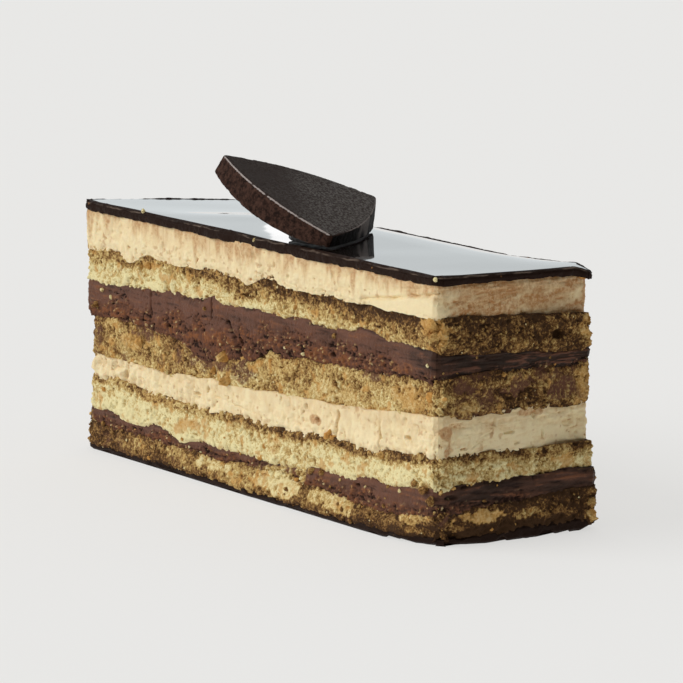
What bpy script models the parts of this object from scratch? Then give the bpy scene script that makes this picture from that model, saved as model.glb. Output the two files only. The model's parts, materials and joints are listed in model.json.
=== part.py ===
"""Opera cake: one rectangular slice of coffee and chocolate layer cake, with a chocolate fan on its glaze.

Metres, +Z up. The slice stands on z = 0, its long side lies along X, and the origin is the centre of its underside.
The long cut side that faces -Y is called the front, and the short cut side that faces +X the right end.

Each layer is a slab between two levels. A level is one gently uneven surface over the whole slice, and the layers
above and below it share it, so that they follow each other with the same small clearance everywhere.
"""

import math
from typing import NamedTuple

import bmesh
import bpy
from mathutils import Euler, Vector
from mathutils.bvhtree import BVHTree

MM = 0.001

# The slice
LENGTH = 108 * MM
WIDTH = 32.5 * MM
CLEARANCE = 0.3 * MM  # between pieces that touch
CORNER_RADIUS = 1.1 * MM  # of the four upright corners
CORNER_STEPS = 2
COLUMNS = 24  # faces along the length
ROWS = 7  # faces across the width

# How a knife cut wanders along the sides of a layer
SIDE_WAVE = 0.22 * MM
SIDE_WAVE_LENGTH = 27 * MM
EDGE_POWER = 9  # how close to its side a layer's outline shift stays

# Slow waves of the levels between the layers
WAVE_ALONG = 31 * MM
WAVE_ACROSS = 43 * MM
SECOND_WAVE = 0.5  # height of the shorter second wave, as a share of the first
SECOND_WAVE_RATE = 2.3  # its rate, against the first

# The fan of moulded chocolate: a blunt wedge with bowed sides, lying on its broad end with its tip raised
FAN_REACH = 25.4 * MM  # from the tip to the middle of the broad end's chord
FAN_END_WIDTH = 30.1 * MM
FAN_SIDE_BOW = 2.8 * MM
FAN_END_BOW = 2.1 * MM
FAN_TIP_THICKNESS = 3.5 * MM
FAN_MIDDLE_THICKNESS = 4.1 * MM  # the underside is rounded along the fan
FAN_END_THICKNESS = 2.4 * MM
FAN_SETTLE = 2.8 * MM  # how much deeper the broad end's back corner is, where it settled onto the glaze
FAN_DRAFT = 0.5 * MM  # how far the underside reaches past the top, as the mould's walls slope
FAN_EDGE_RADIUS = 0.25 * MM
FAN_CORNER_RADIUS = 0.6 * MM
FAN_SIDE_STEPS = 8
FAN_TIP = Vector((-5.9 * MM, -18.4 * MM, 59.7 * MM))
FAN_TURN = math.radians(42.3)  # about the vertical, from +X
FAN_TILT = math.radians(23.3)  # down from the tip to the broad end
FAN_ROLL = math.radians(5.4)  # about its own long axis
SHARP_EDGE = math.radians(40)  # faces that meet at more than this are different walls of the fan

# The dab of ganache under the fan's front side, which props its tip up
DAB_CENTRE = Vector((9.9 * MM, -12.6 * MM, 0))
DAB_HALF_LENGTH = 5.2 * MM
DAB_HALF_WIDTH = 2.7 * MM
DAB_HALF_HEIGHT = 4.5 * MM
DAB_TURN = math.radians(-8)

BASE_THICKNESS = 1.0 * MM


class Level(NamedTuple):
    """A face between two layers, in millimetres: its height along the front, and how it runs to the back."""

    left: float
    middle: float
    right: float
    back: float  # added along the back
    wave: float = 0.0  # height of its slow waves


class Swell(NamedTuple):
    """A local rise of a level near the front side, in millimetres."""

    x: float
    half_width: float
    rise: float


class Layer(NamedTuple):
    """A layer's finish, and how far each of its sides stands out past the slice, in millimetres."""

    name: str
    colour: tuple
    roughness: float
    front: float
    right: float
    right_back: float  # at the back of the right end
    back: float
    left: float
    crown: float = 0.0  # outward bulge of its sides at half height


LEVELS = (
    Level(left=46.0, middle=46.0, right=45.8, back=-1.0, wave=0.08),
    Level(left=44.5, middle=44.3, right=44.4, back=-0.9, wave=0.15),
    Level(left=37.3, middle=38.3, right=38.7, back=-2.7, wave=0.40),
    Level(left=31.1, middle=33.0, right=33.1, back=-2.4, wave=0.35),
    Level(left=24.9, middle=25.9, right=28.3, back=0.4, wave=0.30),
    Level(left=17.3, middle=18.6, right=21.9, back=-0.4, wave=0.30),
    Level(left=13.9, middle=13.0, right=15.3, back=-0.8, wave=0.35),
    Level(left=8.0, middle=7.1, right=10.0, back=0.2, wave=0.35),
    Level(left=5.2, middle=4.5, right=5.4, back=1.6, wave=0.35),
    Level(left=1.0, middle=1.0, right=1.0, back=0.0),
)

# Ganache that sinks into the sponge below, and sponge that breaks through the lower ganache
SWELLS = {
    4: (Swell(x=-12, half_width=9, rise=-2.8), Swell(x=-2, half_width=3.5, rise=-1.8)),
    7: (Swell(x=6, half_width=6, rise=-0.6),),
    8: (Swell(x=6, half_width=6, rise=0.9), Swell(x=36, half_width=10, rise=-1.3)),
}

LAYERS = (
    Layer("glaze", (0.010, 0.006, 0.005), 0.08, 0.2, 0.2, -0.3, 0.0, 0.2),
    Layer("buttercream_upper", (0.80, 0.60, 0.35), 0.55, 0.2, 0.2, -1.6, -0.3, 0.7, 0.1),
    Layer("sponge_1", (0.60, 0.42, 0.16), 0.90, 0.0, 0.5, 0.3, 0.0, 0.2),
    Layer("ganache_upper", (0.060, 0.028, 0.019), 0.50, 0.1, -0.5, 0.0, 0.0, 0.5, 0.1),
    Layer("sponge_2", (0.29, 0.16, 0.060), 0.90, -0.3, 0.4, -0.3, 0.0, -0.9),
    Layer("buttercream_lower", (0.82, 0.64, 0.39), 0.55, 0.0, 0.2, -0.8, -0.2, -1.6, 0.1),
    Layer("sponge_3", (0.66, 0.50, 0.22), 0.90, 0.2, 0.0, 0.9, 0.0, -0.7),
    Layer("ganache_lower", (0.047, 0.020, 0.014), 0.45, 0.1, 0.1, 1.5, 0.2, 0.0, 0.1),
    Layer("sponge_4", (0.25, 0.17, 0.085), 0.85, 0.1, 0.2, 1.9, 0.3, 0.2),
)
BASE = Layer("base_chocolate", (0.020, 0.010, 0.007), 0.40, -0.6, -0.6, 0.9, -0.4, -0.5)
FAN_COLOUR = (0.040, 0.024, 0.018)
FAN_ROUGHNESS = 0.32
DAB_COLOUR = (0.018, 0.009, 0.006)
DAB_ROUGHNESS = 0.30


def clear_scene():
    for thing in list(bpy.data.objects):
        bpy.data.objects.remove(thing, do_unlink=True)


def plain_material(name, colour, roughness):
    """A Principled material of one colour."""
    material = bpy.data.materials.new(name)
    material.use_nodes = True
    shader = material.node_tree.nodes["Principled BSDF"]
    shader.inputs["Base Color"].default_value = (*colour, 1)
    shader.inputs["Roughness"].default_value = roughness
    shader.inputs["Metallic"].default_value = 0
    material.diffuse_color = (*colour, 1)
    return material


def add_piece(name, mesh_data, colour, roughness, collection):
    """A named object that holds the finished bmesh."""
    mesh = bpy.data.meshes.new(name)
    mesh_data.to_mesh(mesh)
    mesh_data.free()
    mesh.materials.append(plain_material(name, colour, roughness))
    piece = bpy.data.objects.new(name, mesh)
    collection.objects.link(piece)
    return piece


# Levels


def along(x):
    """0 at the left end of the slice, 1 at the right end."""
    return x / LENGTH + 0.5


def across(y):
    """0 along the front, 1 along the back."""
    return y / WIDTH + 0.5


def slow_waves(number, x, y):
    """Between about -1 and 1: two crossing waves, different for each level."""
    turn_x = math.tau * x / WAVE_ALONG + number
    turn_y = math.tau * y / WAVE_ACROSS + 2 * number
    first = math.sin(turn_x) * math.cos(turn_y)
    second = math.sin(SECOND_WAVE_RATE * turn_x + number) * math.cos(turn_y + 1)
    return (first + SECOND_WAVE * second) / (1 + SECOND_WAVE)


def level_height(number, x, y):
    """Height of a level in metres: a parabola along the front, a straight fall to the back, and the waves."""
    level = LEVELS[number]
    u = along(x)
    v = across(y)
    straight = level.left * (1 - u) + level.right * u
    sag = level.middle - (level.left + level.right) / 2
    height = straight + sag * 4 * u * (1 - u) + level.back * v + level.wave * slow_waves(number, x, y)
    for swell in SWELLS.get(number, ()):
        nearness = math.exp(-(((x / MM - swell.x) / swell.half_width) ** 2))
        height += swell.rise * nearness * max(0.0, 1 - v)
    return height * MM


# Layers


def side_wander(number, distance):
    """The small in and out of a cut side, different for each layer."""
    turn = math.tau * distance / SIDE_WAVE_LENGTH
    return SIDE_WAVE * math.sin(turn + 1.7 * number) * math.cos(0.6 * turn + number)


def shifted(layer, number, x, y, fraction):
    """Where a point of the plain rectangle lies in this layer's own outline."""
    u = 2 * x / LENGTH
    v = 2 * y / WIDTH
    bulge = layer.crown * MM * 4 * fraction * (1 - fraction)
    right = layer.right + (layer.right_back - layer.right) * across(y)
    move_x = max(0.0, u) ** EDGE_POWER * (right * MM + bulge + side_wander(number, y))
    move_x -= max(0.0, -u) ** EDGE_POWER * (layer.left * MM + bulge + side_wander(number + 3, y))
    move_y = max(0.0, v) ** EDGE_POWER * (layer.back * MM + bulge + side_wander(number + 5, x))
    move_y -= max(0.0, -v) ** EDGE_POWER * (layer.front * MM + bulge + side_wander(number, x))
    return x + move_x, y + move_y


def block(columns, rows, height):
    """A closed box with rounded upright corners, on z = 0, with a grid of faces above and below."""
    bm = bmesh.new()
    bmesh.ops.create_grid(bm, x_segments=columns, y_segments=rows, size=0.5)
    for vert in bm.verts:
        vert.co = Vector((vert.co.x * LENGTH, vert.co.y * WIDTH, 0))
    extruded = bmesh.ops.extrude_face_region(bm, geom=bm.faces[:])
    for element in extruded["geom"]:
        if isinstance(element, bmesh.types.BMVert):
            element.co.z = height
    bmesh.ops.recalc_face_normals(bm, faces=bm.faces)
    corners = [edge for edge in bm.edges if is_upright(edge) and is_corner(edge)]
    bmesh.ops.bevel(
        bm, geom=corners, offset=CORNER_RADIUS, segments=CORNER_STEPS, profile=0.5, affect="EDGES"
    )
    return bm


def rise_of(edge):
    return abs(edge.verts[0].co.z - edge.verts[1].co.z)


def is_upright(edge):
    return rise_of(edge) > 0


def is_corner(edge):
    place = edge.verts[0].co
    return abs(place.x) > 0.49 * LENGTH and abs(place.y) > 0.49 * WIDTH


def make_layer(number, layer, collection):
    """A layer between its two levels, with one more row of points at half height round its sides."""
    bm = block(COLUMNS, ROWS, height=1.0)
    uprights = [edge for edge in bm.edges if is_upright(edge)]
    bmesh.ops.subdivide_edges(bm, edges=uprights, cuts=1)
    for vert in bm.verts:
        fraction = vert.co.z
        x, y = shifted(layer, number, vert.co.x, vert.co.y, fraction)
        top = level_height(number, x, y)
        bottom = level_height(number + 1, x, y) + CLEARANCE
        vert.co = Vector((x, y, bottom + (top - bottom) * fraction))
    piece = add_piece(layer.name, bm, layer.colour, layer.roughness, collection)
    piece.data.shade_smooth()
    piece.data.set_sharp_from_angle(angle=math.radians(50))
    return piece


def make_base(collection):
    """The thin seal of chocolate under the lowest sponge, flat above and below."""
    bm = block(columns=1, rows=1, height=BASE_THICKNESS)
    for vert in bm.verts:
        x, y = shifted(BASE, len(LAYERS), vert.co.x, vert.co.y, 0)
        vert.co = Vector((x, y, vert.co.z))
    piece = add_piece(BASE.name, bm, BASE.colour, BASE.roughness, collection)
    piece.data.shade_smooth()
    piece.data.set_sharp_from_angle(angle=math.radians(50))
    return piece


# The fan and its dab


def bowed_side(start, end, bow, steps):
    """Points from start up to, but not including, end, on a parabola that stands out to the right by bow."""
    step = end - start
    outward = Vector((step.y, -step.x)).normalized()
    return [start + step * t + outward * bow * 4 * t * (1 - t) for t in (i / steps for i in range(steps))]


def fan_outline():
    """The fan's top face, tip at the origin and long axis along +X, counter-clockwise."""
    tip = Vector((0, 0))
    front_corner = Vector((FAN_REACH, -FAN_END_WIDTH / 2))
    back_corner = Vector((FAN_REACH, FAN_END_WIDTH / 2))
    outline = bowed_side(tip, front_corner, FAN_SIDE_BOW, FAN_SIDE_STEPS)
    outline += bowed_side(front_corner, back_corner, FAN_END_BOW, FAN_SIDE_STEPS)
    outline += bowed_side(back_corner, tip, FAN_SIDE_BOW, FAN_SIDE_STEPS)
    return outline


def fan_placement():
    turned = Euler((FAN_ROLL, FAN_TILT, FAN_TURN), "XYZ").to_matrix().to_4x4()
    turned.translation = FAN_TIP
    return turned


def lift_onto_glaze(bm):
    """Lowers or raises the fan until its lowest corner is one clearance above the glaze."""
    room = min(
        vert.co.z - level_height(0, vert.co.x, vert.co.y) for vert in bm.verts if abs(vert.co.y) < WIDTH / 2
    )
    for vert in bm.verts:
        vert.co.z += CLEARANCE - room


def fan_thickness(along):
    """A parabola through the thicknesses at the tip, the middle and the broad end. Along runs from 0 to 1."""
    tip_share = (1 - along) * (1 - 2 * along)
    middle_share = 4 * along * (1 - along)
    end_share = along * (2 * along - 1)
    return (
        tip_share * FAN_TIP_THICKNESS + middle_share * FAN_MIDDLE_THICKNESS + end_share * FAN_END_THICKNESS
    )


def fan_prism():
    """The fan's outline as a plate, cut across at each of its corners, so that its underside can be rounded."""
    bm = bmesh.new()
    outline = [bm.verts.new((point.x, point.y, 0)) for point in fan_outline()]
    plate = bmesh.ops.extrude_face_region(bm, geom=[bm.faces.new(outline)])
    for element in plate["geom"]:
        if isinstance(element, bmesh.types.BMVert):
            element.co.z = -FAN_MIDDLE_THICKNESS
    cuts = [vert.co.x for vert in outline[1:FAN_SIDE_STEPS]]
    for cut in cuts:
        whole = [*bm.verts, *bm.edges, *bm.faces]
        bmesh.ops.bisect_plane(bm, geom=whole, dist=0.02 * MM, plane_co=(cut, 0, 0), plane_no=(1, 0, 0))
    return bm


def shape_underside(bm):
    """Rounds the underside along the fan, flares it by the draft, and settles the broad end onto the glaze."""
    middle = Vector((0.6 * FAN_REACH, 0, 0))
    placement = fan_placement()
    for vert in bm.verts:
        if vert.co.z < 0:
            along = min(vert.co.x / FAN_REACH, 1)
            across = vert.co.y / FAN_END_WIDTH + 0.5
            outward = (vert.co - middle).xy.normalized() * FAN_DRAFT
            place = placement @ Vector((vert.co.x + outward.x, vert.co.y + outward.y, -fan_thickness(along)))
            glaze = level_height(0, place.x, place.y) + CLEARANCE
            place.z = max(glaze, place.z - FAN_SETTLE * along * across)
            vert.co = placement.inverted() @ place


def sharp_edges(bm):
    return [edge for edge in bm.edges if edge.calc_face_angle() > SHARP_EDGE]


def make_fan(collection):
    bm = fan_prism()
    shape_underside(bm)
    bmesh.ops.recalc_face_normals(bm, faces=bm.faces)
    uprights = [edge for edge in sharp_edges(bm) if rise_of(edge) > FAN_END_THICKNESS / 2]
    bmesh.ops.bevel(bm, geom=uprights, offset=FAN_CORNER_RADIUS, segments=3, profile=0.5, affect="EDGES")
    bmesh.ops.bevel(bm, geom=sharp_edges(bm), offset=FAN_EDGE_RADIUS, segments=2, profile=0.5, affect="EDGES")
    bm.transform(fan_placement())
    lift_onto_glaze(bm)
    piece = add_piece("chocolate_fan", bm, FAN_COLOUR, FAN_ROUGHNESS, collection)
    piece.data.shade_smooth()
    piece.data.set_sharp_from_angle(angle=math.radians(50))
    return piece


def underside_over(fan, place):
    """A point and the downward normal of the fan's rounded underside, straight above a place."""
    corners = [vert.co for vert in fan.data.vertices]
    tree = BVHTree.FromPolygons(corners, [tuple(face.vertices) for face in fan.data.polygons])
    point, normal, *_ = tree.ray_cast(place, Vector((0, 0, 1)))
    return point, normal


def make_dab(fan, collection):
    """A squashed ball of ganache between the glaze and the fan's underside."""
    point, normal = underside_over(fan, DAB_CENTRE)
    bm = bmesh.new()
    bmesh.ops.create_uvsphere(bm, u_segments=16, v_segments=10, radius=1)
    turn = Euler((0, 0, DAB_TURN)).to_matrix()
    for vert in bm.verts:
        ball = Vector(
            (vert.co.x * DAB_HALF_LENGTH, vert.co.y * DAB_HALF_WIDTH, vert.co.z * DAB_HALF_HEIGHT)
        )
        place = turn @ ball + DAB_CENTRE
        floor = level_height(0, place.x, place.y) + CLEARANCE
        place.z += level_height(0, DAB_CENTRE.x, DAB_CENTRE.y)
        ceiling = point.z - ((place.x - point.x) * normal.x + (place.y - point.y) * normal.y) / normal.z
        place.z = max(floor, min(place.z, ceiling - 2 * CLEARANCE))
        vert.co = place
    piece = add_piece("ganache_dab", bm, DAB_COLOUR, DAB_ROUGHNESS, collection)
    piece.data.shade_smooth()
    return piece


def main():
    clear_scene()
    collection = bpy.data.collections.new("opera_cake")
    bpy.context.scene.collection.children.link(collection)
    for number, layer in enumerate(LAYERS):
        make_layer(number, layer, collection)
    make_base(collection)
    fan = make_fan(collection)
    make_dab(fan, collection)


main()
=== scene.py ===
"""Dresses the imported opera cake: crumb, cream, ganache, mirror glaze and the chocolate fan, on a pale stage.

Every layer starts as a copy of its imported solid. Its two flat faces are kept, and its cut sides are bridged
again with a fine net of faces. The net is then worked in relief: crumb and pores on the sponges, knife marks
and cracks on the cream and the ganache. What the relief and the smears are at each point is stored on the
mesh, and the materials read it. Places on the cut sides are in millimetres: along a side from its middle, and
up from the table. The cut side towards -Y is the front, and the one towards +X the right end. The seeds of
the noises are any whole numbers, and noises with different seeds have nothing in common.
"""

import itertools
import json
import math
import random
from typing import NamedTuple

import bmesh
import bpy
import numpy as np
from bpy.props import FloatProperty, FloatVectorProperty, IntProperty, PointerProperty
from mathutils import Color, Matrix, Vector

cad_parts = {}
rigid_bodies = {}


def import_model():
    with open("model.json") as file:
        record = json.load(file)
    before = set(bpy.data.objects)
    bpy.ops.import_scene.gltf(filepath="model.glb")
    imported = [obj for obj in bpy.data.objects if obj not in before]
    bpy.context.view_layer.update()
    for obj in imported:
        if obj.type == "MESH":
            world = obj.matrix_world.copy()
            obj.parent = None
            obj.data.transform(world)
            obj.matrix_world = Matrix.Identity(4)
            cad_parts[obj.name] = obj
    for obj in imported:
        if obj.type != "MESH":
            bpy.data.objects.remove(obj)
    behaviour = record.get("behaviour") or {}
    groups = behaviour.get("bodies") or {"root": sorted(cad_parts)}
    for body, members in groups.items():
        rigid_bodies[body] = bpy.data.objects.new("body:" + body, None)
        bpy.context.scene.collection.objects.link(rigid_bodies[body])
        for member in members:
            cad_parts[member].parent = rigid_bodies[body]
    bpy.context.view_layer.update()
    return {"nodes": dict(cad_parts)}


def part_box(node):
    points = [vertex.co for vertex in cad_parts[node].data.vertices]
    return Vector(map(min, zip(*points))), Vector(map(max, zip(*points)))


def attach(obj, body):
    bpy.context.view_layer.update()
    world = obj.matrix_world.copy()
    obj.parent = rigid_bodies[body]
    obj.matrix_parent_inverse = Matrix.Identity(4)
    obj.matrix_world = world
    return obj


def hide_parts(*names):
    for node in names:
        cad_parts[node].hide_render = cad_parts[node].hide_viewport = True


bl_info = {
    "name": "Opera Cake Dresser",
    "version": (1, 0, 0),
    "blender": (4, 5, 0),
    "location": "View3D > Sidebar > Opera Cake",
    "description": "Works the crumb, cream, ganache and glaze of a packed opera cake and sets its stage",
    "category": "Object",
}

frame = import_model()
MM = 0.001

_, GLAZE_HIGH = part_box("glaze")
HALF_LENGTH = 54 * MM
HALF_WIDTH = 16.25 * MM
FRONT, RIGHT, BACK, LEFT = range(4)
SIDE_LENGTHS = np.array([2 * HALF_LENGTH, 2 * HALF_WIDTH, 2 * HALF_LENGTH, 2 * HALF_WIDTH])
SIDE_STARTS = np.concatenate([[0], np.cumsum(SIDE_LENGTHS)[:-1]])
GIRTH = SIDE_LENGTHS.sum()
LEVEL_FACE = 0.6  # a face is a layer's top or underside if its normal rises or falls by more than this


# Settings


def colour_setting(name, description, default):
    """A colour that the maker can change, in linear values."""
    return FloatVectorProperty(
        name=name, description=description, default=default, size=3, subtype="COLOR", min=0, max=1
    )


def length_setting(name, description, default):
    """A length that the maker can change, in metres."""
    return FloatProperty(
        name=name, description=description, default=default, unit="LENGTH", min=0, precision=5
    )


def strength_setting(name, description, default):
    """A strength or brightness that the maker can change."""
    return FloatProperty(name=name, description=description, default=default, min=0)


class CakeSizes(bpy.types.PropertyGroup):
    """How finely and how deeply the cut sides are worked."""

    net: length_setting("Net", "Width of the faces on the cut sides", 0.17 * MM)
    row: length_setting("Row", "Height of the faces on the cut sides", 0.18 * MM)
    reach: length_setting("Reach", "How far a layer reaches into its neighbours", 0.55 * MM)
    wander: length_setting("Wander", "How far the levels rise and fall", 0.55 * MM)
    crumb: length_setting("Crumb", "Height of the sponge's crumb", 0.24 * MM)
    pore: length_setting("Pore", "Depth of the sponge's pores", 0.38 * MM)
    tear: length_setting("Tear", "Height of the ganache where the knife tore it", 0.42 * MM)
    lip: length_setting("Glaze lip", "Width of the glaze's rounded edge", 0.45 * MM)
    drop: length_setting("Glaze drop", "How far the glaze hangs over the buttercream", 0.5 * MM)
    fan_depth: IntProperty(
        name="Fan depth", description="How finely the fan is divided", default=7, min=5, max=8
    )
    strewn: IntProperty(
        name="Strewn crumbs", description="Loose crumbs of each kind", default=110, min=0, max=400
    )


class CakeColours(bpy.types.PropertyGroup):
    """What the cake is coloured with."""

    glaze: colour_setting("Glaze", "Mirror glaze", (0.006, 0.004, 0.0035))
    glaze_edge: colour_setting("Glaze edge", "Glaze where it was cut", (0.021, 0.0105, 0.0070))
    glaze_rim: colour_setting("Glaze rim", "Light along the rim of the cut glaze", (0.20, 0.145, 0.11))
    cream: colour_setting("Cream", "Coffee buttercream", (0.83, 0.65, 0.365))
    cream_pale: colour_setting("Pale cream", "Buttercream where it is airy", (0.88, 0.73, 0.44))
    # Also used as painted shade on the right end of the upper cream.
    cream_stain: colour_setting("Cream stain", "Coffee soaked into the buttercream", (0.46, 0.21, 0.065))
    crumb_pale: colour_setting("Pale crumb", "Inside of the almond sponge", (0.88, 0.77, 0.42))
    crumb_golden: colour_setting("Golden crumb", "Almond sponge", (0.60, 0.41, 0.145))
    crumb_brown: colour_setting("Brown crumb", "Crust, and sponge soaked with coffee", (0.235, 0.113, 0.032))
    # The lowest crumb tone: painted shade in pores and hollows, and the darkest soaked crumb.
    crumb_dark: colour_setting("Dark crumb", "Depth of the pores", (0.060, 0.027, 0.009))
    crumb_toasted: colour_setting("Toasted crumb", "Crumbs that browned in the oven", (0.60, 0.30, 0.075))
    ganache: colour_setting("Ganache", "Smooth ganache", (0.140, 0.060, 0.036))
    ganache_torn: colour_setting("Torn ganache", "Rough ganache, rich in cocoa", (0.22, 0.083, 0.034))
    # The lowest ganache tone, painted into cracks, gaps and fractures as painted shade; the base chocolate
    # also uses it for its flakes.
    ganache_deep: colour_setting("Deep ganache", "Ganache in its cracks", (0.022, 0.009, 0.005))
    # Also painted shade: it darkens the ganache at the right end; the cut glaze uses it for its flakes.
    ganache_dark: colour_setting("Dark ganache", "Ganache that the knife left smooth", (0.030, 0.017, 0.011))
    chocolate: colour_setting("Chocolate", "Tempered chocolate", (0.026, 0.014, 0.010))
    # Painted sheen: a grey reflection painted on the fan's top.
    chocolate_painted_sheen: colour_setting("Painted_sheen", "Pale bloom on tempered chocolate", (0.135, 0.120, 0.108))
    chocolate_side: colour_setting("Side chocolate", "The fan's sides", (0.016, 0.009, 0.007))
    chocolate_mottle: colour_setting("Side mottle", "Pale mottle on the fan's sides", (0.070, 0.036, 0.026))
    chocolate_rim: colour_setting("Fan rim", "Light along the fan's rims", (0.42, 0.36, 0.33))
    floor: colour_setting("Floor", "Studio floor", (0.252, 0.2495, 0.2445))


class StageSettings(bpy.types.PropertyGroup):
    """The light and the camera."""

    key: strength_setting("Key light", "Strength of the light from the front left", 1.91)
    top: strength_setting("Top light", "Strength of the light from above", 0.84)
    glow: strength_setting("Glow", "Brightness of the studio behind the cake", 0.80)
    card: strength_setting("Card", "Brightness of the slim card behind the cake", 1.35)
    dusk: strength_setting("Dusk", "Brightness of the studio in front of the cake", 0.07)
    floor_glow: strength_setting("Floor glow", "Light from under the floor", 0.606)
    azimuth: FloatProperty(
        name="Camera azimuth", description="Turn of the camera", default=math.radians(54.9), subtype="ANGLE"
    )
    elevation: FloatProperty(
        name="Camera elevation", description="Rise of the camera", default=math.radians(9.85), subtype="ANGLE"
    )
    distance: length_setting("Camera distance", "From the camera to the cake", 0.840)
    aim_right: length_setting("Aim right", "How far right of the cake's middle the camera aims", 2.03 * MM)
    aim_up: length_setting("Aim up", "How far above the table the camera aims", 25.8 * MM)
    lens: FloatProperty(name="Lens", description="Focal length in millimetres", default=252.5, min=20)


# Selecting and shaping


def select_only(piece):
    """Leaves one piece selected and active."""
    for other in bpy.context.view_layer.objects:
        other.select_set(False)
    piece.select_set(True)
    bpy.context.view_layer.objects.active = piece


def edit(piece, kind="VERT"):
    """Enters edit mode on one piece with nothing selected."""
    select_only(piece)
    bpy.ops.object.mode_set(mode="EDIT")
    bpy.ops.mesh.select_mode(type=kind)
    bpy.ops.mesh.select_all(action="DESELECT")


def leave_edit():
    bpy.ops.object.mode_set(mode="OBJECT")


def choose_faces(piece, test):
    """Selects, in edit mode, the faces that pass the test."""
    bm = bmesh.from_edit_mesh(piece.data)
    for face in bm.faces:
        face.select_set(test(face))
    bm.select_flush_mode()
    bmesh.update_edit_mesh(piece.data)


def choose_boundary(piece):
    """Selects, in edit mode, the open edges."""
    bm = bmesh.from_edit_mesh(piece.data)
    for edge in bm.edges:
        edge.select_set(edge.is_boundary)
    bmesh.update_edit_mesh(piece.data)


def node_copy(node, name):
    """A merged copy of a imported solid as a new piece."""
    mesh = frame["nodes"][node].data.copy()
    mesh.name = name
    mesh.materials.clear()
    piece = bpy.data.objects.new(name, mesh)
    bpy.context.scene.collection.objects.link(piece)
    select_only(piece)
    bpy.ops.mesh.customdata_custom_splitnormals_clear()
    edit(piece)
    bpy.ops.mesh.select_all(action="SELECT")
    bpy.ops.mesh.remove_doubles(threshold=0.005 * MM)
    bpy.ops.mesh.normals_make_consistent(inside=False)
    leave_edit()
    return piece


def apply_modifiers(piece):
    select_only(piece)
    for modifier in list(piece.modifiers):
        bpy.ops.object.modifier_apply(modifier=modifier.name)


def roughen(piece, size, height):
    """Soft lumps of a size all over a piece."""
    texture = bpy.data.textures.new(piece.name + "_clouds", "CLOUDS")
    texture.noise_scale = size
    texture.noise_depth = 1
    modifier = piece.modifiers.new("Clouds", "DISPLACE")
    modifier.texture = texture
    modifier.texture_coords = "LOCAL"
    modifier.strength = height
    apply_modifiers(piece)
    bpy.data.textures.remove(texture)


def hand_over(piece, slot, *nodes):
    """Lets a finished piece ride with the cake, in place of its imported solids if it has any."""
    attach(piece, "root")
    if nodes:
        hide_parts(*nodes)


def smooth(piece, angle=70):
    select_only(piece)
    bpy.ops.object.shade_smooth_by_angle(angle=math.radians(angle))


def hand_over_layer(piece, material, slot, node):
    """Gives a worked layer its one material, smooths it and hands it over."""
    piece.data.materials.append(material)
    smooth(piece)
    hand_over(piece, slot, node)


def vectors(items, name, count=3):
    """One row of numbers for each item of a mesh."""
    flat = np.empty(len(items) * count, np.float32)
    items.foreach_get(name, flat)
    return flat.reshape(-1, count).astype(np.float64)


def set_places(piece, points):
    piece.data.vertices.foreach_set("co", points.astype(np.float32).ravel())
    piece.data.update()


def keep_values(piece, **masks):
    """Stores one number for each vertex under each name, as attributes that the materials read."""
    for name, values in masks.items():
        attribute = piece.data.attributes.get(name) or piece.data.attributes.new(name, "FLOAT", "POINT")
        attribute.data.foreach_set("value", np.asarray(values, np.float32))


# Noise over whole arrays of points


def scrambled(cells, seed):
    """A repeatable number from -1 to 1 for each row of whole numbers."""
    mixed = np.full(len(cells), seed * 7919 + 17, np.uint64)
    for column, prime in zip(cells.T, (73856093, 19349663, 83492791)):
        mixed ^= column.astype(np.int64).astype(np.uint64) * np.uint64(prime)
        mixed = (mixed ^ (mixed >> np.uint64(13))) * np.uint64(0x9E3779B97F4A7C15)
        mixed ^= mixed >> np.uint64(29)
    return (mixed % np.uint64(65536)).astype(np.float64) / 32767.5 - 1


def noise(points, size, seed=0):
    """Smooth noise from -1 to 1. The size is one length, or one for each column of points."""
    scaled = points / np.asarray(size, float)
    low = np.floor(scaled)
    part = scaled - low
    part = part * part * (3 - 2 * part)
    total = np.zeros(len(points))
    for corner in itertools.product((0, 1), repeat=points.shape[1]):
        weight = np.prod(np.where(np.array(corner, bool), part, 1 - part), axis=1)
        total += weight * scrambled(low + corner, seed)
    return total


def layered_noise(points, size, seed=0, octaves=3, keep=0.5):
    """Noise with finer noise on it: each octave halves the size, and keeps a share of the height."""
    total = np.zeros(len(points))
    for octave in range(octaves):
        total += noise(points, np.asarray(size, float) / 2**octave, seed + 31 * octave) * keep**octave
    return total / sum(keep**octave for octave in range(octaves))


def grains(points, size, seed):
    """Strewn grains, one to each cube of a size.

    Returns how far inside its grain each point lies, from 0 between grains to 1 well inside one, and its
    grain's number, which is from -1 to 1 and the same all over the grain.
    """
    scaled = points / size
    low = np.floor(scaled)
    nearest = np.full(len(points), np.inf)
    second = nearest.copy()
    number = np.zeros(len(points))
    for offset in itertools.product((-1, 0, 1), repeat=3):
        corner = low + offset
        jitter = np.column_stack([scrambled(corner, seed + axis) for axis in range(3)])
        middle = corner + 0.5 + 0.5 * jitter
        away = np.sqrt(((middle - scaled) ** 2).sum(axis=1))
        closer = away < nearest
        second = np.where(closer, nearest, np.minimum(second, away))
        number = np.where(closer, scrambled(corner, seed + 9), number)
        nearest = np.minimum(nearest, away)
    return np.clip((second - nearest) * 1.8, 0, 1), number


def smooth_step(values, low, high):
    part = np.clip((values - low) / (high - low), 0, 1)
    return part * part * (3 - 2 * part)


def perimeter(points):
    """How far round the slice each point lies: 0 to 1 along the front, then right end, back and left end."""
    u = points[:, 0] / HALF_LENGTH
    v = points[:, 1] / HALF_WIDTH
    front_or_back = np.abs(v) * HALF_WIDTH - HALF_WIDTH >= np.abs(u) * HALF_LENGTH - HALF_LENGTH
    along = np.clip((u + 1) / 2, 0, 1)
    across = np.clip((v + 1) / 2, 0, 1)
    return np.where(
        front_or_back,
        np.where(v < 0, FRONT + along, BACK + 1 - along),
        np.where(u > 0, RIGHT + across, LEFT + 1 - across),
    )


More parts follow.
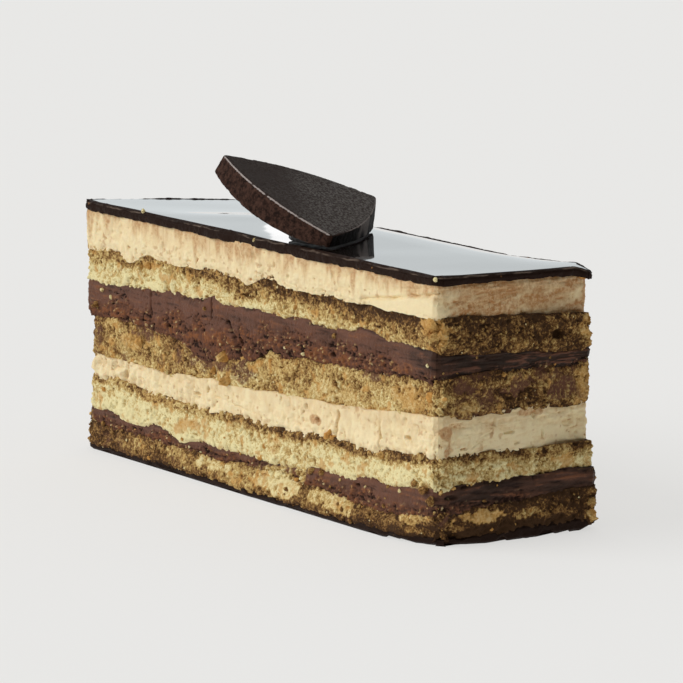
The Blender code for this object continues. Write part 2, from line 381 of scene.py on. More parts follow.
# A layer's cut sides


class Spot(NamedTuple):
    """An oval place on a cut side, in millimetres."""

    side: int
    along: float
    height: float
    half_along: float
    half_up: float


class Pit(NamedTuple):
    """A hollow in a cut side: an oval place with a depth, in millimetres."""

    side: int
    along: float
    height: float
    half_along: float
    half_up: float
    depth: float


class Score(NamedTuple):
    """A crack or a knife's groove, in millimetres: it runs straight but for some jitter."""

    side: int
    start: tuple
    end: tuple
    half_width: float
    depth: float
    jitter: float = 0.3


def placed(kind, rows):
    """Places of one kind, from rows of their other fields under the side that they are on."""
    return [kind(side, *row) for side, side_rows in rows.items() for row in side_rows]


# Front left, middle and right, right end near and far, back, left end
STATIONS = (0.15, 0.5, 0.85, 1.15, 1.85, 2.5, 3.5)


RIM_DRAWN = 0.35 * MM  # how far a layer's upper and lower rims are drawn in
RIM_HEIGHT = 0.9  # over what height, in millimetres
FOOT_HEIGHT = 6 * MM
FOOT_OUT = (0.3, 1.1, 1.2, 0.0, -0.6, 0.0, 0.0)  # how far the foot stands out at each station, in millimetres
FOOT_TUCK = 3.2  # how far it is drawn in at the near corner, in millimetres
TUCK_REACH = 12.0  # how far from the corner, in millimetres


class Cut:
    """The worked sides of a layer: how far round and up the slice its points are, and which way is out."""

    def __init__(self, piece):
        self.piece = piece
        self.points = vectors(piece.data.vertices, "co")
        self.round = perimeter(self.points)
        out = vectors(piece.data.vertices, "normal")
        out[:, 2] = 0
        length = np.linalg.norm(out, axis=1)
        self.on_side = length > 0.3
        self.out = out / np.maximum(length, 1e-6)[:, None] * self.on_side[:, None]
        self.band = self.heights_in_layer()
        side = np.clip(self.round.astype(int), 0, 3)
        self.metres = SIDE_STARTS[side] + (self.round - side) * SIDE_LENGTHS[side]
        self.relief = np.zeros(len(self.points))
        self.flat = self.points.copy()
        from_corner = self.metres - SIDE_STARTS[side]
        to_corner = np.minimum(from_corner, SIDE_LENGTHS[side] - from_corner)
        self.corner = 1 - smooth_step(to_corner, 0.3 * MM, 2.2 * MM)
        self.edge = 1 - smooth_step(to_corner, 0.0, 1.3 * MM)

    def heights_in_layer(self):
        """0 along the lower edge of the cut, 1 along the upper edge.

        The distances from both edges are kept as well, in millimetres.
        """
        mesh = self.piece.data
        up = vectors(mesh.polygons, "normal")[:, 2]
        edges = {}
        for polygon in np.flatnonzero(np.abs(up) > LEVEL_FACE):
            edges.setdefault(up[polygon] > 0, []).extend(mesh.polygons[int(polygon)].vertices)
        height = self.points[:, 2]
        levels = []
        for upper in (False, True):
            rim = np.zeros(len(height), bool)
            rim[edges[upper]] = True
            rim &= self.on_side
            order = np.argsort(self.round[rim])
            levels.append(np.interp(self.round, self.round[rim][order], height[rim][order], period=4))
        low, high = levels
        self.below_top = (high - height) / MM
        self.above_foot = (height - low) / MM
        return np.clip((height - low) / np.maximum(high - low, 1e-5), 0, 1)

    def push(self, distance):
        """Moves the side points straight out by a distance each."""
        distance = distance * self.on_side
        self.points += self.out * distance[:, None]
        self.relief += distance

    def flatten(self, share):
        """Takes a share of the relief back."""
        self.push(-share * self.relief)

    def soften_rims(self):
        """Draws the upper and lower edges in, so that the layers beside them overlap them raggedly."""
        for distance in (self.below_top, self.above_foot):
            self.push(-RIM_DRAWN * (1 - smooth_step(distance, 0.0, RIM_HEIGHT)))

    def wear_corners(self, depth):
        """Rounds the upright corners unevenly."""
        self.push(-depth * self.edge * (0.7 + 0.9 * self.clouds(2.4, 88, 2)))

    def shape_foot(self):
        """Draws the foot of the near corner in, and lets the foot of the front out."""
        low = 1 - smooth_step(self.flat[:, 2], 1.0 * MM, FOOT_HEIGHT)
        tucked = 1 - smooth_step(np.abs(self.beside(FRONT, HALF_LENGTH / MM)), 0.0, TUCK_REACH)
        self.push(low * MM * (self.around(FOOT_OUT) - FOOT_TUCK * tucked))

    def around(self, values):
        """A value that changes evenly from station to station round the slice."""
        return np.interp(self.round, STATIONS, values, period=4)

    def beside(self, side, along):
        """How far each point lies past a place on a side, round the slice, in millimetres."""
        start = SIDE_STARTS[side] + SIDE_LENGTHS[side] / 2 + along * MM
        return ((self.metres - start + GIRTH / 2) % GIRTH - GIRTH / 2) / MM

    def near(self, spot, ragged=0.45):
        """1 in a spot and 0 outside, with a ragged edge."""
        across = self.beside(spot.side, spot.along) / spot.half_along
        up = (self.points[:, 2] / MM - spot.height) / spot.half_up
        reach = np.hypot(across, up) + ragged * self.clouds(1.8, 77, 3, 0.6)
        return 1 - smooth_step(reach, 0.8, 1.15)

    def beside_line(self, score):
        """How far above a score's line each point lies, in millimetres. It is large past the line's ends."""
        along = self.beside(score.side, score.start[0])
        up = self.points[:, 2] / MM - score.start[1]
        run = score.end[0] - score.start[0]
        rise = score.end[1] - score.start[1]
        length = math.hypot(run, rise)
        past = (along * run + up * rise) / length
        off = (up * run - along * rise) / length
        off += score.jitter * layered_noise(np.column_stack([past, past * 0]), 1.6, 55, 2)
        outside = np.maximum(np.maximum(-past, past - length), 0)
        return off + np.sign(off) * outside * 2

    def score(self, score):
        width = score.half_width * (1 + 0.6 * self.clouds(1.2, 66, 1))
        depth = score.depth * MM * (0.75 + 0.5 * self.clouds(1.6, 67, 1))
        self.push(-depth * np.exp(-((self.beside_line(score) / width) ** 2)))

    def pit(self, pit):
        self.push(-pit.depth * MM * self.near(pit, 0.25))

    def mark(self, pits, scores=None):
        """Sinks the pits and cuts the scores of some rows."""
        for pit in placed(Pit, pits):
            self.pit(pit)
        for score in placed(Score, scores or {}):
            self.score(score)

    def within(self, rows, ragged, join=np.maximum):
        """1 inside the spots of some rows and 0 outside all of them."""
        inside = np.zeros(len(self.points))
        for spot in placed(Spot, rows):
            inside = join(inside, self.near(spot, ragged))
        return np.minimum(inside, 1)

    def clouds(self, size, seed, octaves=3, keep=0.5):
        """Layered noise over the cut, with features of a size in millimetres."""
        return layered_noise(self.flat, size * MM, seed, octaves, keep)

    def streaks(self, along, up, seed, octaves=3, keep=0.5, slant=0.0):
        """Layered noise on the unrolled cut that is longer one way than the other, in millimetres."""
        height = self.points[:, 2]
        spread = np.column_stack([(self.metres + slant * height) / (along * MM), height / (up * MM)])
        return layered_noise(spread, 1, seed, octaves, keep)

    def finish(self, **masks):
        set_places(self.piece, self.points)
        keep_values(self.piece, **masks)


def bridged_layer(node, cell, rows, upper, lower):
    """A copy of a layer with its flat faces moved apart and its cut sides a fine net in a number of rows."""
    piece = node_copy(node, node + "_cut")
    edit(piece, "FACE")
    choose_faces(piece, lambda face: abs(face.normal.z) < LEVEL_FACE)
    bpy.ops.mesh.delete(type="FACE")
    for direction, distance in ((1, upper), (-1, lower)):
        choose_faces(piece, lambda face: face.normal.z * direction > LEVEL_FACE)
        bpy.ops.transform.translate(value=(0, 0, distance * direction))
    bpy.ops.mesh.select_mode(type="EDGE")
    choose_boundary(piece)
    bm = bmesh.from_edit_mesh(piece.data)
    rim = [edge.calc_length() for edge in bm.edges if edge.select]
    bpy.ops.mesh.subdivide(number_cuts=max(1, round(sum(rim) / len(rim) / cell) - 1))
    choose_boundary(piece)
    bpy.ops.mesh.bridge_edge_loops(number_cuts=rows - 1, interpolation="LINEAR")
    bpy.ops.mesh.select_all(action="SELECT")
    bpy.ops.mesh.normals_make_consistent(inside=False)
    leave_edit()
    return piece


# Levels: the layers meet along edges that wander. All of them share the same wander, so that they still fit


class Dip(NamedTuple):
    """A place near the front where the levels sink, or rise if the depth is negative, in millimetres."""

    x: float
    height: float
    half_along: float
    half_up: float
    depth: float


DIPS = (
    Dip(-39.6, 37.6, 2.6, 2.4, 1.2),  # buttercream in notches of the sponge
    Dip(-1.8, 38.0, 2.4, 2.2, 1.0),
    Dip(-34.0, 38.2, 2.6, 2.0, -0.9),
    Dip(4.5, 38.6, 3.0, 2.0, -0.9),
    Dip(-20.0, 31.5, 3.0, 2.0, 0.8),  # sponge in the ganache
    Dip(-12.5, 32.5, 2.0, 1.8, -0.9),
    Dip(33.0, 33.0, 3.0, 2.0, -0.8),
    Dip(-17.0, 23.5, 5.0, 2.5, 1.2),  # ganache in the sponge
    Dip(-27.0, 18.0, 2.0, 2.0, 0.9),
    Dip(-13.0, 17.5, 2.0, 1.8, -0.8),
    Dip(31.0, 13.5, 5.0, 1.6, 0.7),
    Dip(-22.0, 7.5, 2.2, 1.6, 0.9),
    Dip(49.0, 9.5, 3.5, 2.0, -1.2),
    Dip(55.0, 27.0, 3.5, 2.4, 1.2),  # ganache low at the near corner
)
DIP_DEPTH_ACROSS = 7 * MM
WANDER_SIZE = 5.0 * MM
FINE_WANDER_SIZE = 1.6 * MM
FINE_SHARE = 0.45
STILL_TOP = GLAZE_HIGH.z - 3.4 * MM  # no wander above, so that the glaze stays level
STILL_BOTTOM = 0.9 * MM
RUN_OFF = 1.7 * MM
RUN_OFF_DEPTH = 11 * MM  # how far under the top the run-off fades out
ALL_WIDTH_UNTIL, BACK_ONLY_FROM = -36 * MM, -12 * MM  # along the slice
RUN_OFF_FADES = 26 * MM, 56 * MM  # where along the slice it fades out
CORNER_DROOP = 1.0 * MM  # at the back of the right end


def run_off(points):
    """How much lower the top of the slice lies toward the back and the left, and at the far right corner."""
    x, y, z = points.T
    inward = smooth_step(x, ALL_WIDTH_UNTIL, BACK_ONLY_FROM)
    start = -0.95 + 1.35 * inward
    toward = np.clip((y / HALF_WIDTH - start) / (1 - start), 0, 1) ** (1 + inward)
    high = smooth_step(z, GLAZE_HIGH.z - RUN_OFF_DEPTH, GLAZE_HIGH.z - 3 * MM)
    fall = RUN_OFF * toward * (1 - smooth_step(x, *RUN_OFF_FADES))
    fall += CORNER_DROOP * smooth_step(x, 49 * MM, 54 * MM) * smooth_step(y, 12 * MM, 16.5 * MM)
    return fall * high


def wander(cut, height):
    """Lets the levels rise and fall."""
    rise = height * layered_noise(cut.points, WANDER_SIZE, 5, 2)
    rise += FINE_SHARE * height * layered_noise(cut.points, FINE_WANDER_SIZE, 6, 2, 0.7)
    x, y, z = cut.points.T
    for dip in DIPS:
        off = ((x / MM - dip.x) / dip.half_along) ** 2 + ((z / MM - dip.height) / dip.half_up) ** 2
        off += ((y + HALF_WIDTH) / DIP_DEPTH_ACROSS) ** 2
        rise -= dip.depth * MM * np.exp(-off)
    free = smooth_step(z, STILL_BOTTOM, STILL_BOTTOM + 2 * MM)
    free *= 1 - smooth_step(z, STILL_TOP, STILL_TOP + 2 * MM)
    cut.points[:, 2] += rise * free - run_off(cut.points)
    cut.flat = cut.points.copy()


def open_cut(node, sizes, upper, lower):
    """A layer's piece and its cut sides, netted and wandered, ready to be worked."""
    low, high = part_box(node)
    rows = max(6, round((high.z - low.z) * 0.8 / sizes.row))
    piece = bridged_layer(node, sizes.net, rows, upper, lower)
    cut = Cut(piece)
    wander(cut, sizes.wander)
    return cut


# Sponge


class Patch(NamedTuple):
    """An oval place with a tone of its own, from 0 for crust to 1 for pale crumb, and how toasted it is."""

    side: int
    along: float
    height: float
    half_along: float
    half_up: float
    tone: float
    toast: float = 0.0


class Sponge(NamedTuple):
    """How one sponge sheet looks: its tone and smears of ganache at each station, and its single places."""

    node: str
    slot: str
    seed: int
    # Low tones at the right end's stations are partly soaked crumb and partly painted shade.
    tone: tuple
    smear: tuple
    crust: float  # height of the brown crust along its upper edge, in millimetres
    crust_tone: tuple  # how much darker the crust is, at each station
    # At the right end of the lowest sponge, the darker lower edge is painted shade.
    foot_tone: tuple  # how much darker its lower edge is, at each station
    grainy: float  # how strongly the tone changes from grain to grain
    smears: dict = {}
    patches: dict = {}
    pits: dict = {}


SPONGES = (
    Sponge(
        "sponge_1", "pale_sponge", 200,
        tone=(0.97, 0.68, 0.42, 0.19, 0.19, 0.5, 0.55),
        smear=(0.0, 0.0, 0.05, 0.12, 0.25, 0.1, 0.1),
        crust=3.0, crust_tone=(0.58, 0.58, 0.52, 0.12, 0.08, 0.4, 0.4),
        foot_tone=(-0.1, -0.1, -0.1, 0.0, 0.0, 0.0, 0.0), grainy=1.0,
        patches={
            FRONT: (
                (-23, 33.3, 9, 2.3, 0.88), (-49, 32.8, 4, 1.4, 0.80), (16, 33.2, 6, 1.2, 0.74),
                (44, 32.6, 6, 1.2, 0.76), (-2, 36.4, 4.5, 1.8, 0.26), (-46, 36.8, 6.5, 1.2, 0.36),
                (53, 36.8, 3.2, 1.9, 0.60, 0.75),
            ),
            RIGHT: ((16, 34.5, 2.2, 3.5, 0.50, 0.55), (-15.5, 36, 1.6, 2, 0.50, 0.6)),
        },
        pits={
            RIGHT: ((8.4, 34.0, 1.3, 0.9, 1.3),),
            FRONT: ((-2.5, 35.2, 1.2, 0.3, 0.7), (-36.0, 35.8, 0.6, 1.2, 0.8)),
        },
    ),
    Sponge(
        "sponge_2", "soaked_sponge", 400,
        tone=(0.35, 0.46, 0.52, 0.25, 0.22, 0.4, 0.4),
        smear=(0.30, 0.16, 0.06, 0.38, 0.36, 0.3, 0.4),
        crust=1.0, crust_tone=(0.10,) * 7,
        foot_tone=(-0.05, -0.06, -0.10, 0.0, 0.0, 0.0, 0.0), grainy=0.75,
        smears={
            FRONT: ((-15, 22.4, 6.5, 2.6), (-4, 21.4, 3.0, 1.8), (-35, 24.0, 4, 1.3), (36, 26.8, 3.0, 1.2)),
            RIGHT: ((-11.5, 26.6, 3.0, 1.3), (1.5, 26.2, 3.6, 1.6), (9.5, 24.6, 3.4, 1.8)),
        },
        patches={
            FRONT: (
                (-39, 22.2, 4.5, 1.5, 0.56, 0.5), (-47, 23.6, 4.0, 1.8, 0.46, 0.1),
                (46, 24.6, 5.0, 1.9, 0.60, 0.45), (8, 23.6, 6.0, 2.4, 0.46, 0.1),
                (24, 22.0, 7.0, 2.0, 0.62, 0.15),
            ),
            RIGHT: ((15, 25, 2.6, 3.5, 0.48, 0.5), (-11, 23.4, 2.2, 1.2, 0.48, 0.3)),
        },
    ),
    Sponge(
        "sponge_3", "pale_sponge", 600,
        tone=(1.04, 0.84, 0.84, 0.70, 0.72, 0.6, 0.6),
        smear=(0.0,) * 7,
        crust=1.7, crust_tone=(0.56, 0.60, 0.60, 0.48, 0.44, 0.5, 0.5),
        foot_tone=(-0.05, -0.05, -0.08, -0.1, 0.0, 0.0, 0.0), grainy=1.0,
        patches={
            FRONT: (
                (38, 10.7, 9, 1.5, 0.90), (-16, 9.2, 14, 1.3, 0.82), (-48, 11.6, 4, 1.3, 0.84),
                (-30, 12.6, 6, 0.8, 0.40, 0.2),
            ),
            RIGHT: ((0, 10.6, 13, 1.0, 0.68),),
        },
    ),
    Sponge(
        "sponge_4", "soaked_sponge", 800,
        tone=(0.17, 0.38, 0.07, 0.09, 0.01, 0.3, 0.3),
        smear=(0.32, 0.10, 0.14, 0.14, 0.18, 0.3, 0.3),
        crust=0.8, crust_tone=(0.06,) * 7,
        foot_tone=(0.20, 0.12, 0.24, 0.70, 0.85, 0.1, 0.1), grainy=0.75,
        smears={RIGHT: ((-14.5, 4.6, 1.0, 1.2),)},
        patches={
            FRONT: (
                (-12, 3.8, 5, 1.2, 0.66, 0.05), (8, 4.0, 7, 2.2, 0.80, 0.1), (25, 3.6, 7, 1.6, 0.56, 0.1),
                (46, 4.4, 5, 1.2, 0.50, 0.2), (50, 2.2, 4, 1.0, 0.34, 0.35),
            ),
            RIGHT: (
                (-12.0, 3.0, 3.0, 0.7, 0.30, 0.3), (-6.5, 4.7, 5.0, 1.2, 0.66, 0.55),
                (15.8, 3.0, 1.8, 2.0, 0.52, 0.5), (1.5, 4.4, 3.0, 0.8, 0.40, 0.0),
            ),
        },
    ),
)


def work_sponge(look, sizes):
    """A torn, open crumb: lumps, crumbs of two sizes, irregular pores, and a tone for every grain."""
    cut = open_cut(look.node, sizes, sizes.reach, sizes.reach)
    flat, seed = cut.flat, look.seed
    lumps = cut.clouds(3.0, seed, 2)
    coarse, coarse_tone = grains(flat, 1.2 * MM, seed + 1)
    fine, fine_tone = grains(flat, 0.5 * MM, seed + 20)
    rough = cut.clouds(0.9, seed + 3, 3, 0.75)
    ends = smooth_step(np.abs(flat[:, 0]), 51.5 * MM, 54 * MM)
    cut.push(sizes.crumb * (0.9 * lumps + 0.9 * rough) * (1 + 1.2 * ends + 1.6 * cut.corner))
    cut.push(sizes.crumb * (0.6 + 0.5 * ends + cut.corner) * coarse_tone * np.sqrt(coarse))
    cut.push(sizes.crumb * 0.5 * fine_tone * np.sqrt(fine))
    cut.wear_corners(0.5 * MM)
    if look.node == "sponge_4":
        cut.shape_foot()
    hollows = smooth_step(cut.clouds(1.0, seed + 5, 3, 0.7), 0.18, 0.45)
    cut.push(-sizes.pore * hollows)
    cut.soften_rims()
    cut.mark(look.pits)
    drift = layered_noise(flat * [0.8, 0.8, 1.3], 5.0 * MM, seed + 8, 4, 0.6)
    tone = cut.around(look.tone) + 0.42 * drift
    ragged_crust = look.crust * (1 + 1.0 * drift + 0.7 * rough)
    crust = 1 - smooth_step(cut.below_top - sizes.reach / MM, 0.2 * ragged_crust, 1.25 * ragged_crust)
    tone -= cut.around(look.crust_tone) * crust
    tone -= cut.around(look.foot_tone) * (1 - smooth_step(cut.above_foot, 0.6, 3.0))
    toast = 0.65 * smooth_step(cut.clouds(1.6, seed + 12, 3, 0.6), 0.15, 0.42)
    for patch in placed(Patch, look.patches):
        inside = cut.near(patch, 0.9)
        tone += inside * (patch.tone + 0.2 * drift - tone)
        toast = np.maximum(toast, patch.toast * inside)
    tone += look.grainy * (0.11 * coarse_tone + 0.17 * fine_tone + 0.16 * rough)
    # Painted shade and highlight: the tone falls where the cut is pushed in and in the pores, and rises on
    # raised crumb.
    tone += 0.25 * np.clip(cut.relief / MM, -0.8, 0.4) - 0.14 * hollows
    smear = cut.around(look.smear) + 0.6 * cut.clouds(3.0, seed + 9, 4, 0.7)
    smear = 0.8 * smooth_step(smear, 0.34, 0.66)
    smear = np.maximum(smear, 0.85 * cut.within(look.smears, 1.1))
    smear *= 1 - 0.7 * smooth_step(coarse_tone + fine_tone, 0.3, 0.9)
    cut.flatten(0.5 * smear)
    cut.finish(tone=tone, toast=toast, smear=smear)
    return cut.piece


# Buttercream


class Cream(NamedTuple):
    """How one layer of buttercream looks: how stained and lumpy at each station, and its single marks."""

    node: str
    seed: int
    # High stains at the right end's stations are partly coffee smears and partly painted shade.
    stain: tuple
    lumpy: tuple
    upper: float  # how far it reaches into the layer above, in millimetres
    top_stain: float  # how strongly what lies on top has soaked in
    airy: float  # up to what share of its height it is airy
    smooth_places: dict
    pits: dict
    scores: dict
    stained_places: dict = {}


FOLD = Score(FRONT, (32.5, 39.2), (54.6, 43.0), 0.24, 0.6, 0.2)  # where the knife folded the cream over
FLAP = Spot(FRONT, 45, 39.6, 11, 2.6)

CREAMS = (
    Cream(
        "buttercream_upper", 100,
        stain=(0.20, 0.24, 0.14, 0.84, 0.82, 0.3, 0.3),
        lumpy=(0.25, 0.15, 0.1, 0.05, 0.1, 0.1, 0.1),
        upper=0.1, top_stain=1.0, airy=0.45,
        smooth_places={FRONT: (FLAP[1:],)},
        pits={
            FRONT: (
                (6.8, 41.8, 0.25, 0.5, 0.4), (11.2, 40.3, 0.45, 0.3, 0.4), (24.0, 42.0, 0.25, 0.35, 0.3),
                (-28.5, 40.5, 0.25, 0.8, 0.3), (-24.0, 40.6, 0.35, 0.35, 0.3),
            ),
        },
        scores={
            FRONT: (
                FOLD[1:], ((9.5, 39.3), (14.0, 38.9), 0.12, 0.2, 0.1),
                ((42.0, 42.2), (54.0, 44.0), 0.16, 0.16, 0.1),
            ),
        },
    ),
    Cream(
        "buttercream_lower", 500,
        stain=(0.10, 0.05, 0.08, 0.24, 0.22, 0.1, 0.1),
        lumpy=(0.9, 0.45, 0.60, 0.10, 0.25, 0.5, 0.8),
        upper=0.5, top_stain=0.25, airy=0.5,
        stained_places={
            FRONT: ((18.5, 16.8, 1.6, 0.8),),
            RIGHT: ((-14.2, 19.2, 1.3, 3.0), (3, 21.2, 3.0, 0.5)),
        },
        smooth_places={FRONT: ((31.8, 17.0, 5.6, 2.4), (4, 17.6, 7.0, 1.6)), RIGHT: ((0, 17, 11, 3),)},
        pits={
            FRONT: (
                (46.1, 17.7, 1.0, 0.45, 0.9), (19.5, 16.7, 0.7, 0.45, 0.9), (15.9, 18.4, 0.5, 0.5, 0.8),
                (8.5, 18.6, 0.3, 0.4, 0.6), (-14.0, 16.9, 0.3, 0.6, 0.8), (-41.5, 15.4, 0.4, 0.8, 0.9),
                (-17.5, 15.6, 0.9, 0.3, 0.6),
            ),
            RIGHT: (
                (-1.2, 18.2, 1.1, 0.25, 0.6), (0.5, 16.2, 0.6, 0.2, 0.4), (-4.2, 20.3, 0.25, 0.8, 0.5),
                (4.2, 20.6, 0.6, 0.6, 0.5), (6.0, 17.2, 0.2, 0.6, 0.5), (11.5, 18.4, 1.2, 0.6, 0.5),
                (-12.5, 14.4, 0.5, 0.5, 0.6),
            ),
        },
        scores={
            FRONT: (
                ((25.6, 19.2), (24.2, 14.4), 0.25, 0.9, 0.5), ((37.8, 19.2), (38.0, 14.6), 0.14, 0.5, 0.2),
                ((-12.0, 15.9), (3.9, 14.5), 0.14, 0.25, 0.1),
            ),
            RIGHT: (
                ((-10.0, 15.6), (-6.5, 17.6), 0.13, 0.28, 0.3), ((-8.0, 17.4), (-4.6, 18.6), 0.13, 0.28, 0.3),
                ((-12.6, 20.4), (-13.8, 16.0), 0.7, 0.35, 0.6),
            ),
        },
    ),
)


def work_cream(look, sizes):
    """Cream drawn by a knife: soft waves, lumps, streaks, pores where it is airy, and a torn lower edge."""
    cut = open_cut(look.node, sizes, look.upper * MM, 0.8 * sizes.reach)
    seed = look.seed
    cut.push(0.15 * MM * cut.clouds(9, seed))
    cut.push(0.05 * MM * cut.streaks(0.9, 12, seed + 1))
    drawn = cut.streaks(3.5, 0.55, seed + 2, 3, 0.7, slant=0.15)
    across = cut.around((0.0, 0.2, 0.0, 1.0, 1.0, 0.5, 0.5))
    cut.push(0.20 * MM * drawn * across)
    lumpy = np.clip(cut.around(look.lumpy) + 0.4 * cut.clouds(7, seed + 15, 1), 0, 1)
    billows = np.abs(cut.clouds(2.6, seed + 10, 2)) + 0.5 * np.abs(cut.clouds(1.3, seed + 30, 1))
    cut.push(1.1 * MM * lumpy * (billows - 0.35))
    cut.wear_corners(0.3 * MM)
    airy_edge = look.airy + 0.3 * cut.clouds(4, seed + 3, 2)
    airy = 1 - smooth_step(cut.band, airy_edge - 0.2, airy_edge + 0.2)
    airy = np.maximum(airy, lumpy)
    rough = cut.clouds(0.8, seed + 8, 3, 0.7)
    cut.push(0.05 * MM * rough + 0.16 * MM * airy * rough)
    hollows = smooth_step(cut.clouds(0.75, seed + 4, 2, 0.6), 0.38, 0.62) * (0.12 + 0.88 * airy)
    cut.push(-0.32 * MM * hollows)
    torn = 1 - smooth_step(cut.above_foot, 0.3, 1.3 + 0.8 * cut.clouds(1.5, seed + 9, 1))
    cut.push(-0.40 * MM * torn * smooth_step(rough, -0.3, 0.3))
    smoothed = cut.within(look.smooth_places, 0.15, np.add)
    cut.flatten(0.75 * smoothed)
    cut.mark(look.pits, look.scores)
    flap = np.zeros(len(cut.points))
    if FOLD[1:] in look.scores[FRONT]:
        flap = smooth_step(-cut.beside_line(FOLD), 0.1, 0.6) * cut.near(FLAP, 0.1)
        cut.push(0.36 * MM * flap)
    cut.push(-0.18 * MM * smooth_step(cut.band, 0.86, 0.97) * look.top_stain)
    blotches = cut.streaks(3.4, 2.0, seed + 11, 4, 0.6, slant=-0.9)
    stain = smooth_step(cut.around(look.stain) + 0.55 * blotches + 0.12 * rough, 0.30, 0.95)
    drips = cut.streaks(1.8, 8, seed + 12, 3, 0.6)
    soaked = smooth_step(cut.band + 0.75 * drips, 0.46, 1.02) * look.top_stain
    spots = smooth_step(cut.clouds(1.0, seed + 13, 2, 0.6), 0.27, 0.45)
    spots *= smooth_step(cut.clouds(5, seed + 14, 1), -0.2, 0.5)
    stain = np.maximum(stain, np.maximum(0.85 * soaked, 0.75 * spots)) * (1 - 0.9 * flap)
    stain = np.maximum(stain, 0.85 * cut.within(look.stained_places, 1.3))
    # Painted shade and highlight: the tone falls in hollows, in the creases between lumps and where the cut is
    # pushed in, and rises where it stands out. The folded flap is painted lighter, partly as smooth unstained
    # cream and partly as painted highlight.
    tone = 0.58 + 0.25 * airy + (0.30 + 0.25 * airy) * rough + 0.75 * drawn * across - 0.65 * hollows
    tone -= 0.35 * lumpy * (1 - smooth_step(billows, 0.03, 0.2))
    tone += 0.35 * flap + 0.12 * smoothed + 0.35 * np.clip(cut.relief / MM, -1, 0.3)
    cut.finish(stain=np.clip(stain, 0, 1), tone=tone)
    return cut.piece


# Ganache


class Ganache(NamedTuple):
    """How one layer of ganache looks: up to what share of its height it is torn and how dark it is at each
    station, and its single marks.
    """

    node: str
    seed: int
    torn: tuple
    # The darkness at the right end's stations is painted shade; elsewhere it gives darker streaks.
    dark: tuple
    reddish: dict
    pits: dict
    scores: dict
    crumbly: dict = {}
    fractured: dict = {}


GANACHES = (
    Ganache(
        "ganache_upper", 300,
        torn=(0.50, 0.60, 0.42, 0.02, 0.25, 0.3, 0.3),
        dark=(0.0, 0.0, 0.05, 1.1, 1.0, 0.6, 0.3),
        reddish={FRONT: ((-51, 28, 3, 3), (-12, 27, 8, 2.5), (22, 27.6, 8, 1.6))},
        fractured={FRONT: ((-12, 28.9, 9, 1.4), (-46, 29.5, 6, 2.0), (14, 28.6, 5, 0.9))},
        pits={
            FRONT: (
                (-3.6, 26.6, 0.8, 1.2, 1.2), (-27.0, 26.5, 0.5, 0.4, 0.8), (10.5, 28.3, 0.8, 0.35, 0.8),
                (24.0, 28.5, 0.9, 0.4, 0.9),
            ),
        },
        scores={
            FRONT: (
                ((-33.0, 32.4), (-32.6, 26.6), 0.16, 0.6, 0.5),
                ((-13.0, 33.4), (-12.9, 29.6), 0.13, 0.8, 0.35), ((-8.0, 29.9), (-6.0, 27.2), 0.32, 1.0, 0.3),
                ((-6.0, 27.2), (-3.4, 23.4), 0.70, 1.4, 0.3),
            ),
            RIGHT: (((-6.0, 31.3), (12.0, 31.0), 0.12, 0.15, 0.1),),
        },
    ),
    Ganache(
        "ganache_lower", 700,
        torn=(0.55, 0.70, 0.48, 0.40, 0.15, 0.3, 0.3),
        dark=(0.15, 0.1, 0.0, 0.80, 0.60, 0.5, 0.3),
        crumbly={FRONT: ((6.5, 4.6, 6.5, 2.3), (15.0, 6.0, 1.6, 1.8), (49, 10.5, 4, 1.0))},
        reddish={FRONT: ((-21, 7.2, 3.0, 0.9), (19, 7.6, 4.5, 1.2), (50, 9.0, 4.5, 2.2))},
        pits={FRONT: ((31.5, 7.4, 0.7, 0.3, 0.6),), RIGHT: ((-13.5, 8.6, 1.2, 0.4, 0.5),)},
        scores={
            FRONT: (((29.0, 8.3), (33.5, 7.6), 0.12, 0.35, 0.2), ((29.5, 7.4), (33.0, 6.8), 0.12, 0.35, 0.2)),
        },
    ),
)


